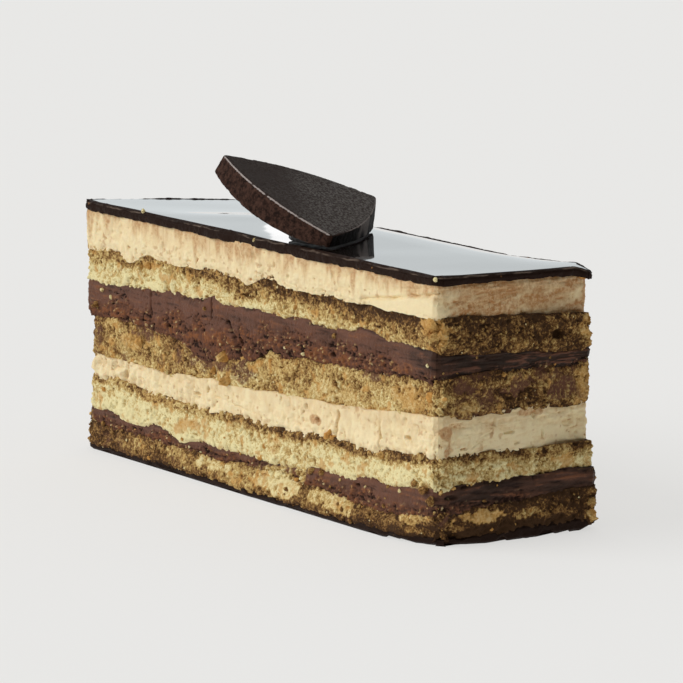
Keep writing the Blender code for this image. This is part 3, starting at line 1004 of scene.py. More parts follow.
def work_ganache(look, sizes):
    """Ganache dragged by a knife: level streaks above, broken bits, gaps and level fractures below."""
    cut = open_cut(look.node, sizes, 0.6 * sizes.reach, 0.9 * sizes.reach)
    flat, seed = cut.flat, look.seed
    rough = cut.clouds(0.8, seed + 7, 3, 0.75)
    cut.push(0.20 * MM * cut.clouds(6, seed))
    streaks = cut.streaks(4, 0.5, seed + 1, 3, 0.7)
    cut.push(0.16 * MM * streaks + 0.10 * MM * rough)
    torn_edge = cut.around(look.torn) + 0.5 * cut.clouds(3.4, seed + 3, 4, 0.6)
    torn = 1 - smooth_step(cut.band, torn_edge - 0.2, torn_edge + 0.2)
    rim = (1 - smooth_step(cut.below_top, 0.3, 0.9)) * smooth_step(cut.clouds(1.6, seed + 4, 1), -0.1, 0.4)
    torn = np.maximum(torn, 0.8 * rim)
    bits, bit_tone = grains(flat * [0.8, 0.8, 1.2], 0.65 * MM, seed + 5)
    _, dust_tone = grains(flat, 0.36 * MM, seed + 40)
    cut.push(sizes.tear * torn * (0.4 * bit_tone * np.sqrt(bits) + 0.25 * dust_tone + 1.0 * rough))
    gaps = smooth_step(layered_noise(flat * [0.5, 0.5, 1.5], 1.1 * MM, seed + 6, 3, 0.65), 0.2, 0.46) * torn
    cut.push(-0.35 * MM * gaps)
    level = cut.streaks(3.2, 0.8, seed + 50, 2, 0.6)
    fractures = (1 - smooth_step(np.abs(level), 0.01, 0.07)) * cut.within(look.fractured, 0.5, np.add)
    fractures *= smooth_step(rough, -0.15, 0.1)
    cut.push(-0.4 * MM * fractures)
    crumbly = cut.within(look.crumbly, 0.7, np.add)
    cut.push(0.30 * MM * crumbly * (0.6 + 0.7 * bit_tone + rough))
    cut.soften_rims()
    cut.wear_corners(0.35 * MM)
    cut.mark(look.pits, look.scores)
    reddish = 0.5 * torn * smooth_step(cut.clouds(1.6, seed + 8, 3, 0.6), -0.1, 0.5)
    reddish = np.maximum(reddish, cut.within(look.reddish, 1.1) * (0.25 + 0.5 * torn))
    crumbs = smooth_step(dust_tone + rough, 0.9, 1.3) * torn
    tone = 0.5 + (0.2 + torn) * (0.14 * bit_tone + 0.16 * dust_tone + 0.26 * rough)
    # Painted shade: the tone falls in the gaps and fractures.
    tone -= 0.25 * gaps + 0.4 * fractures
    tone += streaks * cut.around((0.35, 0.35, 0.35, 0.7, 0.7, 0.5, 0.4))
    dark = cut.around(look.dark) + 0.5 * cut.streaks(7, 1.6, seed + 60, 3, 0.6)
    # Painted shade and highlight: the tone follows the relief, darker where pushed in and lighter where it
    # stands out.
    tone += reddish * 0.35 + 0.45 * np.clip(cut.relief / MM, -1, 0.3)
    cut.finish(
        tone=tone, dark=np.clip(dark, 0, 1), torn=torn, crumbly=np.maximum(crumbly, 0.7 * crumbs),
        crumb_tone=0.52 + 0.2 * bit_tone + 0.15 * dust_tone + 0.2 * rough,
    )
    return cut.piece


# Glaze and the chocolate under the cake


BACK_RIM = 15 * MM, 16 * MM  # how far back the rim begins that stands up behind the mirror
RIM_RISES = -20 * MM, 0  # where along the slice it comes in, and where it goes out
RIM_SINKS = 26 * MM, 48 * MM
MIRROR_FACE = (0.8 * MM) ** 2  # the mirror's faces have larger areas than this, and the lip's smaller ones


def work_glaze(sizes):
    """The mirror glaze: an even face inside a rounded, lumpy lip, over a cut edge with drag lines."""
    piece = bridged_layer("glaze", sizes.net, 12, 0, sizes.drop)
    edit(piece, "FACE")
    choose_faces(piece, lambda face: face.normal.z > LEVEL_FACE)
    bpy.ops.mesh.inset(thickness=sizes.lip, use_even_offset=False)
    leave_edit()
    cut = Cut(piece)
    flat = cut.flat
    cut.points[:, 2] -= run_off(flat)
    cut.push(0.16 * MM * (1 - (2 * cut.band - 1) ** 2) - 0.28 * MM * smooth_step(cut.band, 0.80, 1.0))
    cut.push(0.10 * MM + 0.22 * MM * cut.clouds(2.2, 11, 2))
    cut.push(-0.14 * MM * np.exp(-(((cut.band - 0.66 + 0.06 * cut.clouds(4, 16, 1)) / 0.07) ** 2)))
    cut.push(0.06 * MM * cut.streaks(7, 0.3, 12, 2))
    cut.push(0.10 * MM * cut.clouds(0.6, 13, 2))
    upper = smooth_step(cut.band, 0.55, 1.0) * cut.on_side
    lower = (1 - smooth_step(cut.band, 0.0, 0.5)) * cut.on_side
    uneven = cut.around((0.34, 0.34, 0.30, 0.16, 0.12, 0.10, 0.2)) * (1 - 0.8 * cut.edge)
    cut.points[:, 2] += uneven * MM * upper * (cut.clouds(1.8, 14, 3, 0.6) - 0.3)
    bead = cut.around((0.0, 0.0, 0.0, 0.0, 0.0, 1.0, 1.0)) * (1 + 0.5 * cut.clouds(6, 17, 2))
    steep = smooth_step(flat[:, 1], *BACK_RIM) * smooth_step(flat[:, 0], *RIM_RISES)
    steep *= 1 - smooth_step(flat[:, 0], *RIM_SINKS)
    cut.points[:, 2] += (0.17 * bead + 0.34 * steep) * MM * upper
    cut.points[:, 2] += 0.34 * MM * lower * cut.clouds(1.5, 15, 3, 0.6)
    broken = smooth_step(cut.streaks(3.5, 2, 18, 3, 0.6), -0.2, 0.3)
    rim = np.exp(-(((cut.band - 0.84 + 0.10 * cut.clouds(2.4, 19, 1)) / 0.05) ** 2)) * broken
    cut.finish(glint=rim * cut.on_side)
    return piece


def paint_glaze(piece, mirror, edge):
    """The level face mirrors, and the lip and the cut edge don't."""
    piece.data.materials.append(edge)
    piece.data.materials.append(mirror)
    areas = vectors(piece.data.polygons, "area", 1)[:, 0]
    upward = vectors(piece.data.polygons, "normal")[:, 2] > LEVEL_FACE
    level = upward & (areas > MIRROR_FACE)
    piece.data.polygons.foreach_set("material_index", level.astype(np.int32))
    edit(piece, "FACE")
    choose_faces(piece, lambda face: face.material_index == 1)
    bpy.ops.mesh.region_to_loop()
    bpy.ops.mesh.mark_sharp()
    leave_edit()


def work_base(sizes):
    """The thin chocolate that seals the underside. It climbs the sponge raggedly, and its foot is broken."""
    piece = bridged_layer("base_chocolate", sizes.net, 14, 0.5 * MM, 0)
    cut = Cut(piece)
    # It climbs highest at the far part of the right end; there its dark band is partly chocolate and partly
    # painted shade.
    steep = cut.clouds(2.6, 901, 4, 0.7) + cut.around((-0.4, -0.4, -0.3, -0.1, 0.7, 0.0, 0.0))
    cut.points[:, 2] += 1.2 * MM * steep * smooth_step(cut.band, 0.2, 1.0) * cut.on_side
    cut.push(cut.around((0.60, 0.60, 0.70, 0.95, 1.15, 0.5, 0.5)) * MM)
    cut.shape_foot()
    cut.push(0.45 * MM * cut.clouds(2.0, 904, 4, 0.65))
    cut.push(-0.5 * MM * (1 - smooth_step(cut.band, 0.0, 0.3)) - 0.35 * MM * smooth_step(cut.band, 0.8, 1.0))
    lift = smooth_step(cut.clouds(3.0, 903, 3, 0.6), -0.05, 0.5) * (1 - cut.band) * cut.on_side
    cut.points[:, 2] += 0.75 * MM * lift
    cut.points[:, 2] = np.maximum(cut.points[:, 2], 0)
    cut.finish()
    return piece


# The chocolate fan and its dab


def sharpness(piece):
    """How sharply the surface bends outwards at each vertex, in radians for each millimetre."""
    points = vectors(piece.data.vertices, "co")
    facing = vectors(piece.data.vertices, "normal")
    ends = edge_ends(piece.data)
    along = points[ends[:, 1]] - points[ends[:, 0]]
    bend = ((facing[ends[:, 1]] - facing[ends[:, 0]]) * along).sum(axis=1) / (along**2).sum(axis=1) * MM
    total = np.zeros(len(points))
    count = np.zeros(len(points))
    for end in ends.T:
        np.add.at(total, end, bend)
        np.add.at(count, end, 1)
    return total / np.maximum(count, 1)


def edge_ends(mesh):
    flat = np.empty(len(mesh.edges) * 2, np.int32)
    mesh.edges.foreach_get("vertices", flat)
    return flat.reshape(-1, 2)


def remeshed_copy(node, name, depth, smoothing):
    """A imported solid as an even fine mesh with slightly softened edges."""
    piece = node_copy(node, name)
    remesh = piece.modifiers.new("Remesh", "REMESH")
    remesh.mode = "SHARP"
    remesh.octree_depth = depth
    remesh.scale = 0.95
    remesh.use_remove_disconnected = False
    remesh.use_smooth_shade = True
    smoothed = piece.modifiers.new("Smooth", "SMOOTH")
    smoothed.iterations = smoothing
    smoothed.factor = 0.5
    apply_modifiers(piece)
    return piece


NEAR_RIM = (0.42, -0.59, 0.69)  # which way the rim between the fan's top and its near side faces
END_FACE = (0.70, 0.61, -0.37)  # which way the fan's broad end faces
TIP_TO_END = (0.575, 0.818, 0.0)  # from the fan's narrow tip to its broad end
GLEAM_STARTS = 3.5 * MM, 5.5 * MM  # where a soft gleam on the broad end comes in and goes out
GLEAM_ENDS = 6.8 * MM, 7.8 * MM


def work_fan(sizes):
    """The moulded fan: crisp edges with small chips, and faces that aren't quite even."""
    piece = remeshed_copy("chocolate_fan", "chocolate_fan_formed", sizes.fan_depth, 3)
    bend = sharpness(piece)
    points = vectors(piece.data.vertices, "co")
    facing = vectors(piece.data.vertices, "normal")
    edges = smooth_step(bend, 0.35, 0.9)
    chips = smooth_step(noise(points, 0.9 * MM, 41), 0.35, 0.75) * edges
    side = 1 - smooth_step(np.abs(facing[:, 2]), 0.5, 0.8)
    glint = edges * (1 - chips) * smooth_step(facing @ np.array(NEAR_RIM), 0.86, 0.96)
    height = 0.05 * MM * layered_noise(points, 3 * MM, 42) - 0.22 * MM * chips
    height += side * 0.07 * MM * layered_noise(points, 0.9 * MM, 43)
    set_places(piece, points + facing * height[:, None])
    # Painted shade: the broad end faces down and away from the lights, and is marked to be painted near-black.
    ending = facing @ np.array(END_FACE)
    end = smooth_step(ending, 0.80, 0.92)
    along = points @ np.array(TIP_TO_END)
    # Painted sheen: how strongly the top gets a painted grey reflection, more towards the broad end.
    sheen = smooth_step(along + 4 * MM * noise(points, 6 * MM, 44), -14 * MM, 2 * MM)
    end_rim = edges * smooth_step(ending, 0.10, 0.35) * smooth_step(facing[:, 2], 0.05, 0.3)
    glint = np.maximum(glint, 0.55 * end_rim * smooth_step(along, 1 * MM, 4 * MM))
    gleam = end * smooth_step(along, *GLEAM_STARTS) * (1 - smooth_step(along, *GLEAM_ENDS))
    glint = np.maximum(glint, 0.46 * gleam * smooth_step(noise(points, 1.6 * MM, 45), -0.6, 0.3))
    keep_values(piece, glint=glint, side=side, end=end, sheen=sheen)
    return piece


DAB_SHIFT, DAB_STRETCH = 2.2 * MM, 1.2  # along the slice


def work_dab(sizes):
    """The dab of glossy ganache that props the fan."""
    piece = remeshed_copy("ganache_dab", "ganache_dab_formed", sizes.fan_depth - 1, 6)
    roughen(piece, 1.8 * MM, 0.25 * MM)
    places = vectors(piece.data.vertices, "co")
    middle = places[:, 0].mean()
    places[:, 0] = middle + DAB_SHIFT + DAB_STRETCH * (places[:, 0] - middle)
    set_places(piece, places)
    return piece


# Loose crumbs


class Crumbs(NamedTuple):
    """One kind of crumb: its material's slot, tone and toast, and where it lies."""

    slot: str
    tone: float
    toast: float
    strewn_on: tuple
    smallest: float  # the size of the strewn ones, in millimetres
    largest: float
    single: tuple  # layer, side, and how far along, how high and how large each crumb is, in millimetres


CRUMBS = {
    "crumbs_golden": Crumbs(
        "pale_sponge", tone=0.52, toast=1.0,
        strewn_on=("sponge_1", "sponge_2", "sponge_3", "sponge_4", "ganache_lower"),
        smallest=0.35, largest=1.0,
        single=(
            ("ganache_upper", FRONT, (-8.6, 23.6, 2.3)),
            ("sponge_2", FRONT, (-8.2, 19.3, 2.2), (-12.5, 20.4, 1.6), (-37, 22.0, 1.8), (-35, 21.6, 1.4)),
            ("buttercream_lower", FRONT, (22.2, 14.3, 1.6), (23.7, 14.0, 1.4), (23.0, 15.0, 1.1)),
            ("sponge_1", FRONT, (-33.5, 36.4, 1.5), (52.6, 37.6, 2.2), (51.5, 36.2, 1.7), (53.4, 35.8, 1.8)),
            ("sponge_2", FRONT, (52.0, 25.4, 1.9), (49.0, 26.2, 1.6)),
            ("buttercream_upper", RIGHT, (15.8, 43.0, 1.6)),
            ("sponge_4", RIGHT, (15.0, 2.6, 2.0)),
            ("sponge_3", FRONT, (38.5, 13.6, 1.4)),
            ("ganache_lower", FRONT, (2.0, 7.6, 1.3)),
        ),
    ),
    "crumbs_pale": Crumbs(
        "pale_sponge", tone=0.92, toast=0.0,
        strewn_on=("sponge_1", "sponge_2", "sponge_3", "sponge_4"),
        smallest=0.2, largest=0.45,
        single=(
            ("glaze", FRONT, (-34.7, 46.0, 0.9), (1.0, 45.4, 0.6), (53.6, 45.3, 0.9)),
            ("sponge_1", FRONT, (-36.3, 35.2, 1.0), (-36.0, 36.9, 0.8)),
            (
                "ganache_upper", FRONT,
                (-48.5, 30.0, 1.0), (-45.8, 29.0, 0.7), (-39.5, 32.4, 0.8), (15.3, 27.4, 0.7),
                (10.0, 27.8, 0.5), (51.5, 30.6, 0.7),
            ),
            (
                "ganache_lower", FRONT,
                (-20.0, 5.6, 0.5), (-16.8, 5.2, 0.5), (34.0, 7.4, 0.5), (43.6, 8.4, 0.7), (14.5, 5.6, 1.2),
                (15.2, 4.6, 1.0), (5.5, 5.0, 1.6), (8.0, 3.6, 1.7), (9.5, 2.0, 1.4),
            ),
        ),
    ),
    "crumbs_brown": Crumbs(
        "soaked_sponge", tone=0.22, toast=0.15,
        strewn_on=("sponge_1", "sponge_2", "sponge_4", "ganache_upper", "ganache_lower"),
        smallest=0.35, largest=1.0,
        single=(
            ("sponge_2", FRONT, (24.6, 23.7, 1.2)),
            (
                "ganache_lower", FRONT,
                (50.5, 9.8, 1.8), (52.6, 8.2, 2.0), (48.0, 10.4, 1.4), (18.0, 7.6, 1.5), (21.0, 7.7, 1.2),
            ),
            ("ganache_upper", FRONT, (-50.5, 27.0, 1.5)),
            ("sponge_4", RIGHT, (14.5, 5.2, 1.8)),
        ),
    ),
}
CRUMB_SHAPES = 4
CRUMB_UNEVEN = 0.8, 1.2  # how long and wide a crumb is, and how tall, as shares of its size
CRUMB_HEIGHT = 0.85
EMBEDDED = 0.05  # how far a crumb's middle lies outside the cut, as a share of its size


def crumb_shapes(name):
    """A few small broken lumps of different form, a millimetre across."""
    shapes = []
    for index in range(CRUMB_SHAPES):
        bpy.ops.mesh.primitive_ico_sphere_add(subdivisions=2, radius=0.5 * MM, location=(0, 0, 0))
        shape = bpy.context.object
        shape.name = f"{name}_shape_{index}"
        points = vectors(shape.data.vertices, "co")
        facing = points / np.linalg.norm(points, axis=1)[:, None]
        _, steps = grains(points, 0.5 * MM, 300 + index)
        swell = 0.12 * MM * steps + 0.20 * MM * layered_noise(points, 0.4 * MM, 310 + index, 2, 0.7)
        set_places(shape, points + facing * swell[:, None])
        shapes.append(shape)
    return shapes


def crumb_places(look, rng, strewn):
    """(position, outward direction, size) of each crumb of a kind, on the finished layers."""
    used = {*look.strewn_on, *(layer for layer, *_ in look.single)}
    cuts = {name: Cut(bpy.data.objects[name + "_cut"]) for name in sorted(used)}
    found = []
    for layer, side, *crumbs in look.single:
        cut = cuts[layer]
        for along, height, size in crumbs:
            away = cut.beside(side, along) ** 2 + (cut.points[:, 2] / MM - height) ** 2
            away[~cut.on_side] = np.inf
            index = int(np.argmin(away))
            found.append((Vector(cut.points[index]), Vector(cut.out[index]), size))
    for _ in range(strewn):
        cut = cuts[rng.choice(look.strewn_on)]
        index = rng.choice(np.flatnonzero(cut.on_side))
        size = look.smallest + (look.largest - look.smallest) * rng.random() ** 2
        found.append((Vector(cut.points[index]), Vector(cut.out[index]), size))
    return found


def make_crumbs(kind, strewn):
    """All crumbs of one kind as one joined piece."""
    rng = random.Random(kind)
    shapes = crumb_shapes(kind)
    copies = []
    for place, out, size in crumb_places(CRUMBS[kind], rng, strewn):
        shape = rng.choice(shapes)
        copy = shape.copy()
        copy.data = shape.data.copy()
        turn = Matrix.Rotation(rng.random() * math.tau, 4, "X")
        turn @= Matrix.Rotation(rng.random() * math.tau, 4, "Z")
        length, width = size * rng.uniform(*CRUMB_UNEVEN), size * rng.uniform(*CRUMB_UNEVEN)
        squash = Matrix.Diagonal((length, width, size * CRUMB_HEIGHT, 1))
        copy.matrix_world = Matrix.Translation(place + out * size * EMBEDDED * MM) @ turn @ squash
        bpy.context.scene.collection.objects.link(copy)
        copies.append(copy)
    for shape in shapes:
        bpy.data.objects.remove(shape)
    select_only(copies[0])
    for copy in copies:
        copy.select_set(True)
    bpy.ops.object.join()
    piece = bpy.context.object
    piece.name = kind
    piece.data.name = kind
    bpy.ops.object.transform_apply(location=True, rotation=True, scale=True)
    bpy.ops.object.shade_flat()
    return piece


# Materials


class Wiring:
    """Shorthand for the nodes of one material, world or node group."""

    def __init__(self, tree):
        self.nodes = tree.nodes
        self.links = tree.links

    def feed(self, socket, value):
        """Sets a socket to a number or colour, or links another socket to it."""
        if isinstance(value, bpy.types.NodeSocket):
            self.links.new(value, socket)
        elif isinstance(value, (tuple, Color)):
            socket.default_value = (*value, 1)
        else:
            socket.default_value = value

    def place(self):
        return self.nodes.new("ShaderNodeTexCoord").outputs["Object"]

    def attribute(self, name):
        node = self.nodes.new("ShaderNodeAttribute")
        node.attribute_name = name
        return node.outputs["Fac"]

    def noise(self, scale, detail=3.0, roughness=0.55, stretch=None):
        """Noise on Object coordinates, in features per metre."""
        place = self.place()
        if stretch:
            mapping = self.nodes.new("ShaderNodeMapping")
            mapping.inputs["Scale"].default_value = stretch
            self.links.new(place, mapping.inputs["Vector"])
            place = mapping.outputs["Vector"]
        texture = self.nodes.new("ShaderNodeTexNoise")
        self.links.new(place, texture.inputs["Vector"])
        self.feed(texture.inputs["Scale"], scale)
        texture.inputs["Detail"].default_value = detail
        texture.inputs["Roughness"].default_value = roughness
        return texture.outputs["Fac"]

    def specks(self, scale, size):
        """1 in small round specks, 0 between them."""
        texture = self.nodes.new("ShaderNodeTexVoronoi")
        self.links.new(self.place(), texture.inputs["Vector"])
        self.feed(texture.inputs["Scale"], scale)
        return self.ramp(texture.outputs["Distance"], size, size * 0.6)

    def ramp(self, value, low, high, bottom=0.0, top=1.0):
        """Smoothly from bottom at low to top at high."""
        node = self.nodes.new("ShaderNodeMapRange")
        node.interpolation_type = "SMOOTHSTEP"
        self.feed(node.inputs["Value"], value)
        for name, number in (("From Min", low), ("From Max", high), ("To Min", bottom), ("To Max", top)):
            self.feed(node.inputs[name], number)
        return node.outputs["Result"]

    def maths(self, operation, first, second):
        node = self.nodes.new("ShaderNodeMath")
        node.operation = operation
        self.feed(node.inputs[0], first)
        self.feed(node.inputs[1], second)
        return node.outputs[0]

    def mix(self, factor, first, second):
        """Colour mix; each colour is a tuple or a socket."""
        node = self.nodes.new("ShaderNodeMix")
        node.data_type = "RGBA"
        self.feed(node.inputs[0], factor)
        self.feed(node.inputs[6], first)
        self.feed(node.inputs[7], second)
        return node.outputs[2]

    def times(self, first, second):
        return self.maths("MULTIPLY", first, second)

    def sway(self, base, texture, amount):
        """A base that a texture raises and lowers, by its distance from one half times an amount."""
        return self.maths("ADD", base, self.times(self.maths("SUBTRACT", texture, 0.5), amount))

    def coat(self, shader, colour, height, depth):
        """Gives a shader its colour, and bumps of a depth."""
        self.links.new(colour, shader.inputs["Base Color"])
        node = self.nodes.new("ShaderNodeBump")
        node.inputs["Distance"].default_value = depth
        node.inputs["Strength"].default_value = 1.0
        self.links.new(height, node.inputs["Height"])
        self.links.new(node.outputs["Normal"], shader.inputs["Normal"])

    def group(self, tree, **inputs):
        """Places a node group and feeds its inputs."""
        node = self.nodes.new("ShaderNodeGroup")
        node.node_tree = tree
        for name, value in inputs.items():
            self.feed(node.inputs[name.replace("_", " ")], value)
        return node.outputs


def shade(name, **constants):
    """A Principled material. Returns it with its wiring and shader."""
    material = bpy.data.materials.new(name)
    material.use_nodes = True
    shader = material.node_tree.nodes["Principled BSDF"]
    for socket, value in constants.items():
        shader.inputs[socket.replace("_", " ")].default_value = value
    return material, Wiring(material.node_tree), shader


def node_group(name, inputs, outputs):
    """An empty shader node group. Returns it with its wiring, what it is given and what it results in."""
    tree = bpy.data.node_groups.new(name, "ShaderNodeTree")
    for label, kind in inputs.items():
        tree.interface.new_socket(label, in_out="INPUT", socket_type=kind)
    for label, kind in outputs.items():
        tree.interface.new_socket(label, in_out="OUTPUT", socket_type=kind)
    wiring = Wiring(tree)
    given = wiring.nodes.new("NodeGroupInput").outputs
    return tree, wiring, given, wiring.nodes.new("NodeGroupOutput").inputs


COLOUR, NUMBER = "NodeSocketColor", "NodeSocketFloat"


def crumb_group():
    """Baked crumb: a tone from dark over brown and golden to pale, with a fine grain that also bumps it."""
    name = "baked crumb"
    if name in bpy.data.node_groups:
        return bpy.data.node_groups[name]
    inputs = {"Pale": COLOUR, "Golden": COLOUR, "Brown": COLOUR, "Dark": COLOUR, "Tone": NUMBER}
    tree, wiring, given, result = node_group(name, inputs, {"Color": COLOUR, "Height": NUMBER})
    grain = wiring.noise(2600, 4, 0.75)
    tone = wiring.sway(given["Tone"], grain, 2.0)
    colour = wiring.mix(wiring.ramp(tone, -0.10, 0.28), given["Dark"], given["Brown"])
    colour = wiring.mix(wiring.ramp(tone, 0.16, 0.62), colour, given["Golden"])
    colour = wiring.mix(wiring.ramp(tone, 0.52, 1.00), colour, given["Pale"])
    wiring.links.new(colour, result["Color"])
    wiring.links.new(grain, result["Height"])
    return tree


def cocoa_group():
    """Ganache and chocolate: a tone from deep over plain to torn, with streaks, and flakes that bump it."""
    name = "cocoa mass"
    if name in bpy.data.node_groups:
        return bpy.data.node_groups[name]
    inputs = {"Body": COLOUR, "Torn": COLOUR, "Deep": COLOUR, "Tone": NUMBER, "Roughened": NUMBER}
    tree, wiring, given, result = node_group(name, inputs, {"Color": COLOUR, "Height": NUMBER})
    streak = wiring.noise(210, 4, 0.6, stretch=(1, 1, 5))
    flake = wiring.noise(1900, 4, 0.7)
    tone = wiring.sway(given["Tone"], flake, wiring.times(given["Roughened"], 1.3))
    tone = wiring.sway(tone, streak, 0.35)
    colour = wiring.mix(wiring.ramp(tone, 0.05, 0.48), given["Deep"], given["Body"])
    colour = wiring.mix(wiring.ramp(tone, 0.56, 0.92), colour, given["Torn"])
    wiring.links.new(colour, result["Color"])
    wiring.links.new(flake, result["Height"])
    return tree


CRUMB_BUMP = 0.22 * MM


def crumb_inputs(colours):
    """The four colours of baked crumb."""
    return {name.title(): getattr(colours, "crumb_" + name) for name in ("pale", "golden", "brown", "dark")}


def sponge_material(name, colours):
    material, wiring, shader = shade(name, Roughness=0.85, Specular_IOR_Level=0.2)
    crumb = wiring.group(crumb_group(), Tone=wiring.attribute("tone"), **crumb_inputs(colours))
    toast = wiring.times(wiring.attribute("toast"), wiring.ramp(wiring.attribute("tone"), 0.15, 0.5))
    colour = wiring.mix(toast, crumb["Color"], colours.crumb_toasted)
    smear = wiring.times(wiring.attribute("smear"), wiring.ramp(crumb["Height"], 0.66, 0.5, 0.5, 1.0))
    wiring.coat(shader, wiring.mix(smear, colour, colours.ganache), crumb["Height"], CRUMB_BUMP)
    return material


def cream_material(colours):
    material, wiring, shader = shade("coffee buttercream", Roughness=0.55, Specular_IOR_Level=0.3)
    shader.inputs["Subsurface Weight"].default_value = 0.12
    shader.inputs["Subsurface Radius"].default_value = (1.0, 0.6, 0.3)
    shader.inputs["Subsurface Scale"].default_value = 0.6 * MM
    streak = wiring.noise(260, 4, 0.6, stretch=(2.5, 2.5, 0.6))
    mottle = wiring.noise(1500, 4, 0.68)
    tone = wiring.sway(wiring.sway(wiring.attribute("tone"), streak, 0.9), mottle, 1.1)
    colour = wiring.mix(wiring.ramp(tone, -0.15, 0.45), colours.cream_stain, colours.cream)
    colour = wiring.mix(wiring.ramp(tone, 0.45, 0.95), colour, colours.cream_pale)
    stain = wiring.times(wiring.attribute("stain"), wiring.ramp(mottle, 0.34, 0.62, 0.45, 1.0))
    wiring.coat(shader, wiring.mix(stain, colour, colours.cream_stain), mottle, 0.15 * MM)
    return material


def ganache_material(colours):
    material, wiring, shader = shade("ganache", Specular_IOR_Level=0.12)
    torn = wiring.attribute("torn")
    # Where the dark mask is high, at the right end, the body and the torn flakes are painted darker: painted
    # shade.
    body = wiring.mix(wiring.attribute("dark"), colours.ganache, colours.ganache_dark)
    flakes = wiring.mix(wiring.attribute("dark"), colours.ganache_torn, colours.ganache)
    tone = wiring.attribute("tone")
    cocoa = wiring.group(
        cocoa_group(), Body=body, Torn=flakes, Deep=colours.ganache_deep, Tone=tone, Roughened=torn
    )
    crumb = wiring.group(crumb_group(), Tone=wiring.attribute("crumb_tone"), **crumb_inputs(colours))
    colour = wiring.mix(wiring.attribute("crumbly"), cocoa["Color"], crumb["Color"])
    wiring.coat(shader, colour, cocoa["Height"], 0.12 * MM)
    wiring.links.new(wiring.ramp(torn, 0, 1, 0.45, 0.75), shader.inputs["Roughness"])
    return material


def cocoa_material(name, body, torn, deep, roughness, grain, **constants):
    """One plain cocoa finish without stored masks. Returns it with its wiring, shader and cocoa mass."""
    material, wiring, shader = shade(name, Roughness=roughness, **constants)
    cocoa = wiring.group(cocoa_group(), Body=body, Torn=torn, Deep=deep, Tone=0.5, Roughened=0.5)
    wiring.coat(shader, cocoa["Color"], cocoa["Height"], grain)
    return material, wiring, shader, cocoa


def glaze_edge_material(colours):
    material, wiring, shader, cocoa = cocoa_material(
        "cut glaze", colours.glaze_edge, colours.ganache_dark, colours.glaze,
        roughness=0.42, grain=0.08 * MM, Specular_IOR_Level=0.03,
    )
    flecks = wiring.times(wiring.specks(620, 0.14), wiring.ramp(wiring.noise(90), 0.52, 0.62))
    colour = wiring.mix(wiring.times(flecks, 0.7), cocoa["Color"], colours.cream_stain)
    colour = wiring.mix(wiring.attribute("glint"), colour, colours.glaze_rim)
    wiring.links.new(colour, shader.inputs["Base Color"])
    return material


def mirror_glaze_material(colours):
    material, wiring, shader = shade("mirror glaze", Roughness=0.05, Coat_Weight=1.0, Coat_Roughness=0.02)
    drawn = wiring.noise(120, 3, 0.5, stretch=(1, 0.35, 1))
    wiring.coat(shader, wiring.mix(drawn, colours.glaze, colours.glaze_edge), drawn, 0.006 * MM)
    return material


def fan_material(colours):
    material, wiring, shader = shade("tempered chocolate", Specular_IOR_Level=0.012)
    mottle = wiring.noise(1200, 4, 0.75)
    fine = wiring.noise(2300, 3, 0.65)
    # Painted sheen: grey specks of painted reflection on the top, stronger towards the broad end.
    sheen_share = wiring.ramp(wiring.attribute("sheen"), 0.0, 1.0, 0.25, 1.0)
    painted_sheen = wiring.times(wiring.ramp(fine, 0.42, 0.60), sheen_share)
    top_colour = wiring.mix(painted_sheen, colours.chocolate, colours.chocolate_painted_sheen)
    mottled = wiring.ramp(mottle, 0.34, 0.66)
    side_colour = wiring.mix(mottled, colours.chocolate_side, colours.chocolate_mottle)
    colour = wiring.mix(wiring.attribute("side"), top_colour, side_colour)
    # Painted shade: the broad end is painted in the glaze's near-black.
    colour = wiring.mix(wiring.attribute("end"), colour, colours.glaze)
    colour = wiring.mix(wiring.ramp(wiring.attribute("glint"), 0.2, 0.8), colour, colours.chocolate_rim)
    wiring.coat(shader, colour, fine, 0.16 * MM)
    wiring.links.new(wiring.ramp(fine, 0.2, 0.8, 0.34, 0.62), shader.inputs["Roughness"])
    return material


def crumb_material(name, colours, look):
    """Loose crumbs of one kind."""
    material, wiring, shader = shade(name, Roughness=0.85, Specular_IOR_Level=0.2)
    shifted = wiring.sway(look.tone, wiring.noise(350, 2), 1.2)
    crumb = wiring.group(crumb_group(), Tone=shifted, **crumb_inputs(colours))
    toasted = wiring.ramp(wiring.noise(160, 2), 0.35, 0.65, 0.3 * look.toast, look.toast)
    colour = wiring.mix(toasted, crumb["Color"], colours.crumb_toasted)
    wiring.coat(shader, colour, crumb["Height"], CRUMB_BUMP)
    return material


# Stage


FLOOR_RADIUS = 4
KEY_FROM, KEY_SPREAD = (-0.42, -0.78, 0.50), 50  # where the light shines from, and how wide it is in degrees
TOP_FROM, TOP_SPREAD = (0.0, 0.0, 1.0), 120
STUDIO_COLOUR, CARD_COLOUR = (0.93, 0.985, 1.0), (1, 1, 1)
GLOW_HEIGHT = 0.17  # how high the middle of the glow is, for each metre of its distance
GLOW_EDGE, DUSK_EDGE = (0.25, 0.97), (-0.9, 0.5)  # as cosines from the middle of the glow
CARD_EDGE = (0.90, 0.95)
CARD_LEFT, CARD_RIGHT, CARD_SOFT = -0.0080, 0.0012, 0.0004  # sides of the slim card, as sines of azimuths
CARD_FOOT = (0.060, 0.080)  # the foot of the card, as sines of heights
SENSOR_WIDTH = 36


def make_floor(stage, colours):
    """A pale studio floor, lit a little from below, so that shadows on it stay faint."""
    bpy.ops.mesh.primitive_circle_add(vertices=96, radius=FLOOR_RADIUS, fill_type="NGON", location=(0, 0, 0))
    floor = bpy.context.object
    floor.name = "floor"
    material, _, shader = shade("pale floor", Roughness=0.9, Specular_IOR_Level=0.0)
    shader.inputs["Base Color"].default_value = (*colours.floor, 1)
    brightest = max(colours.floor)
    shader.inputs["Emission Color"].default_value = (*(value / brightest for value in colours.floor), 1)
    shader.inputs["Emission Strength"].default_value = stage.floor_glow
    floor.data.materials.append(material)


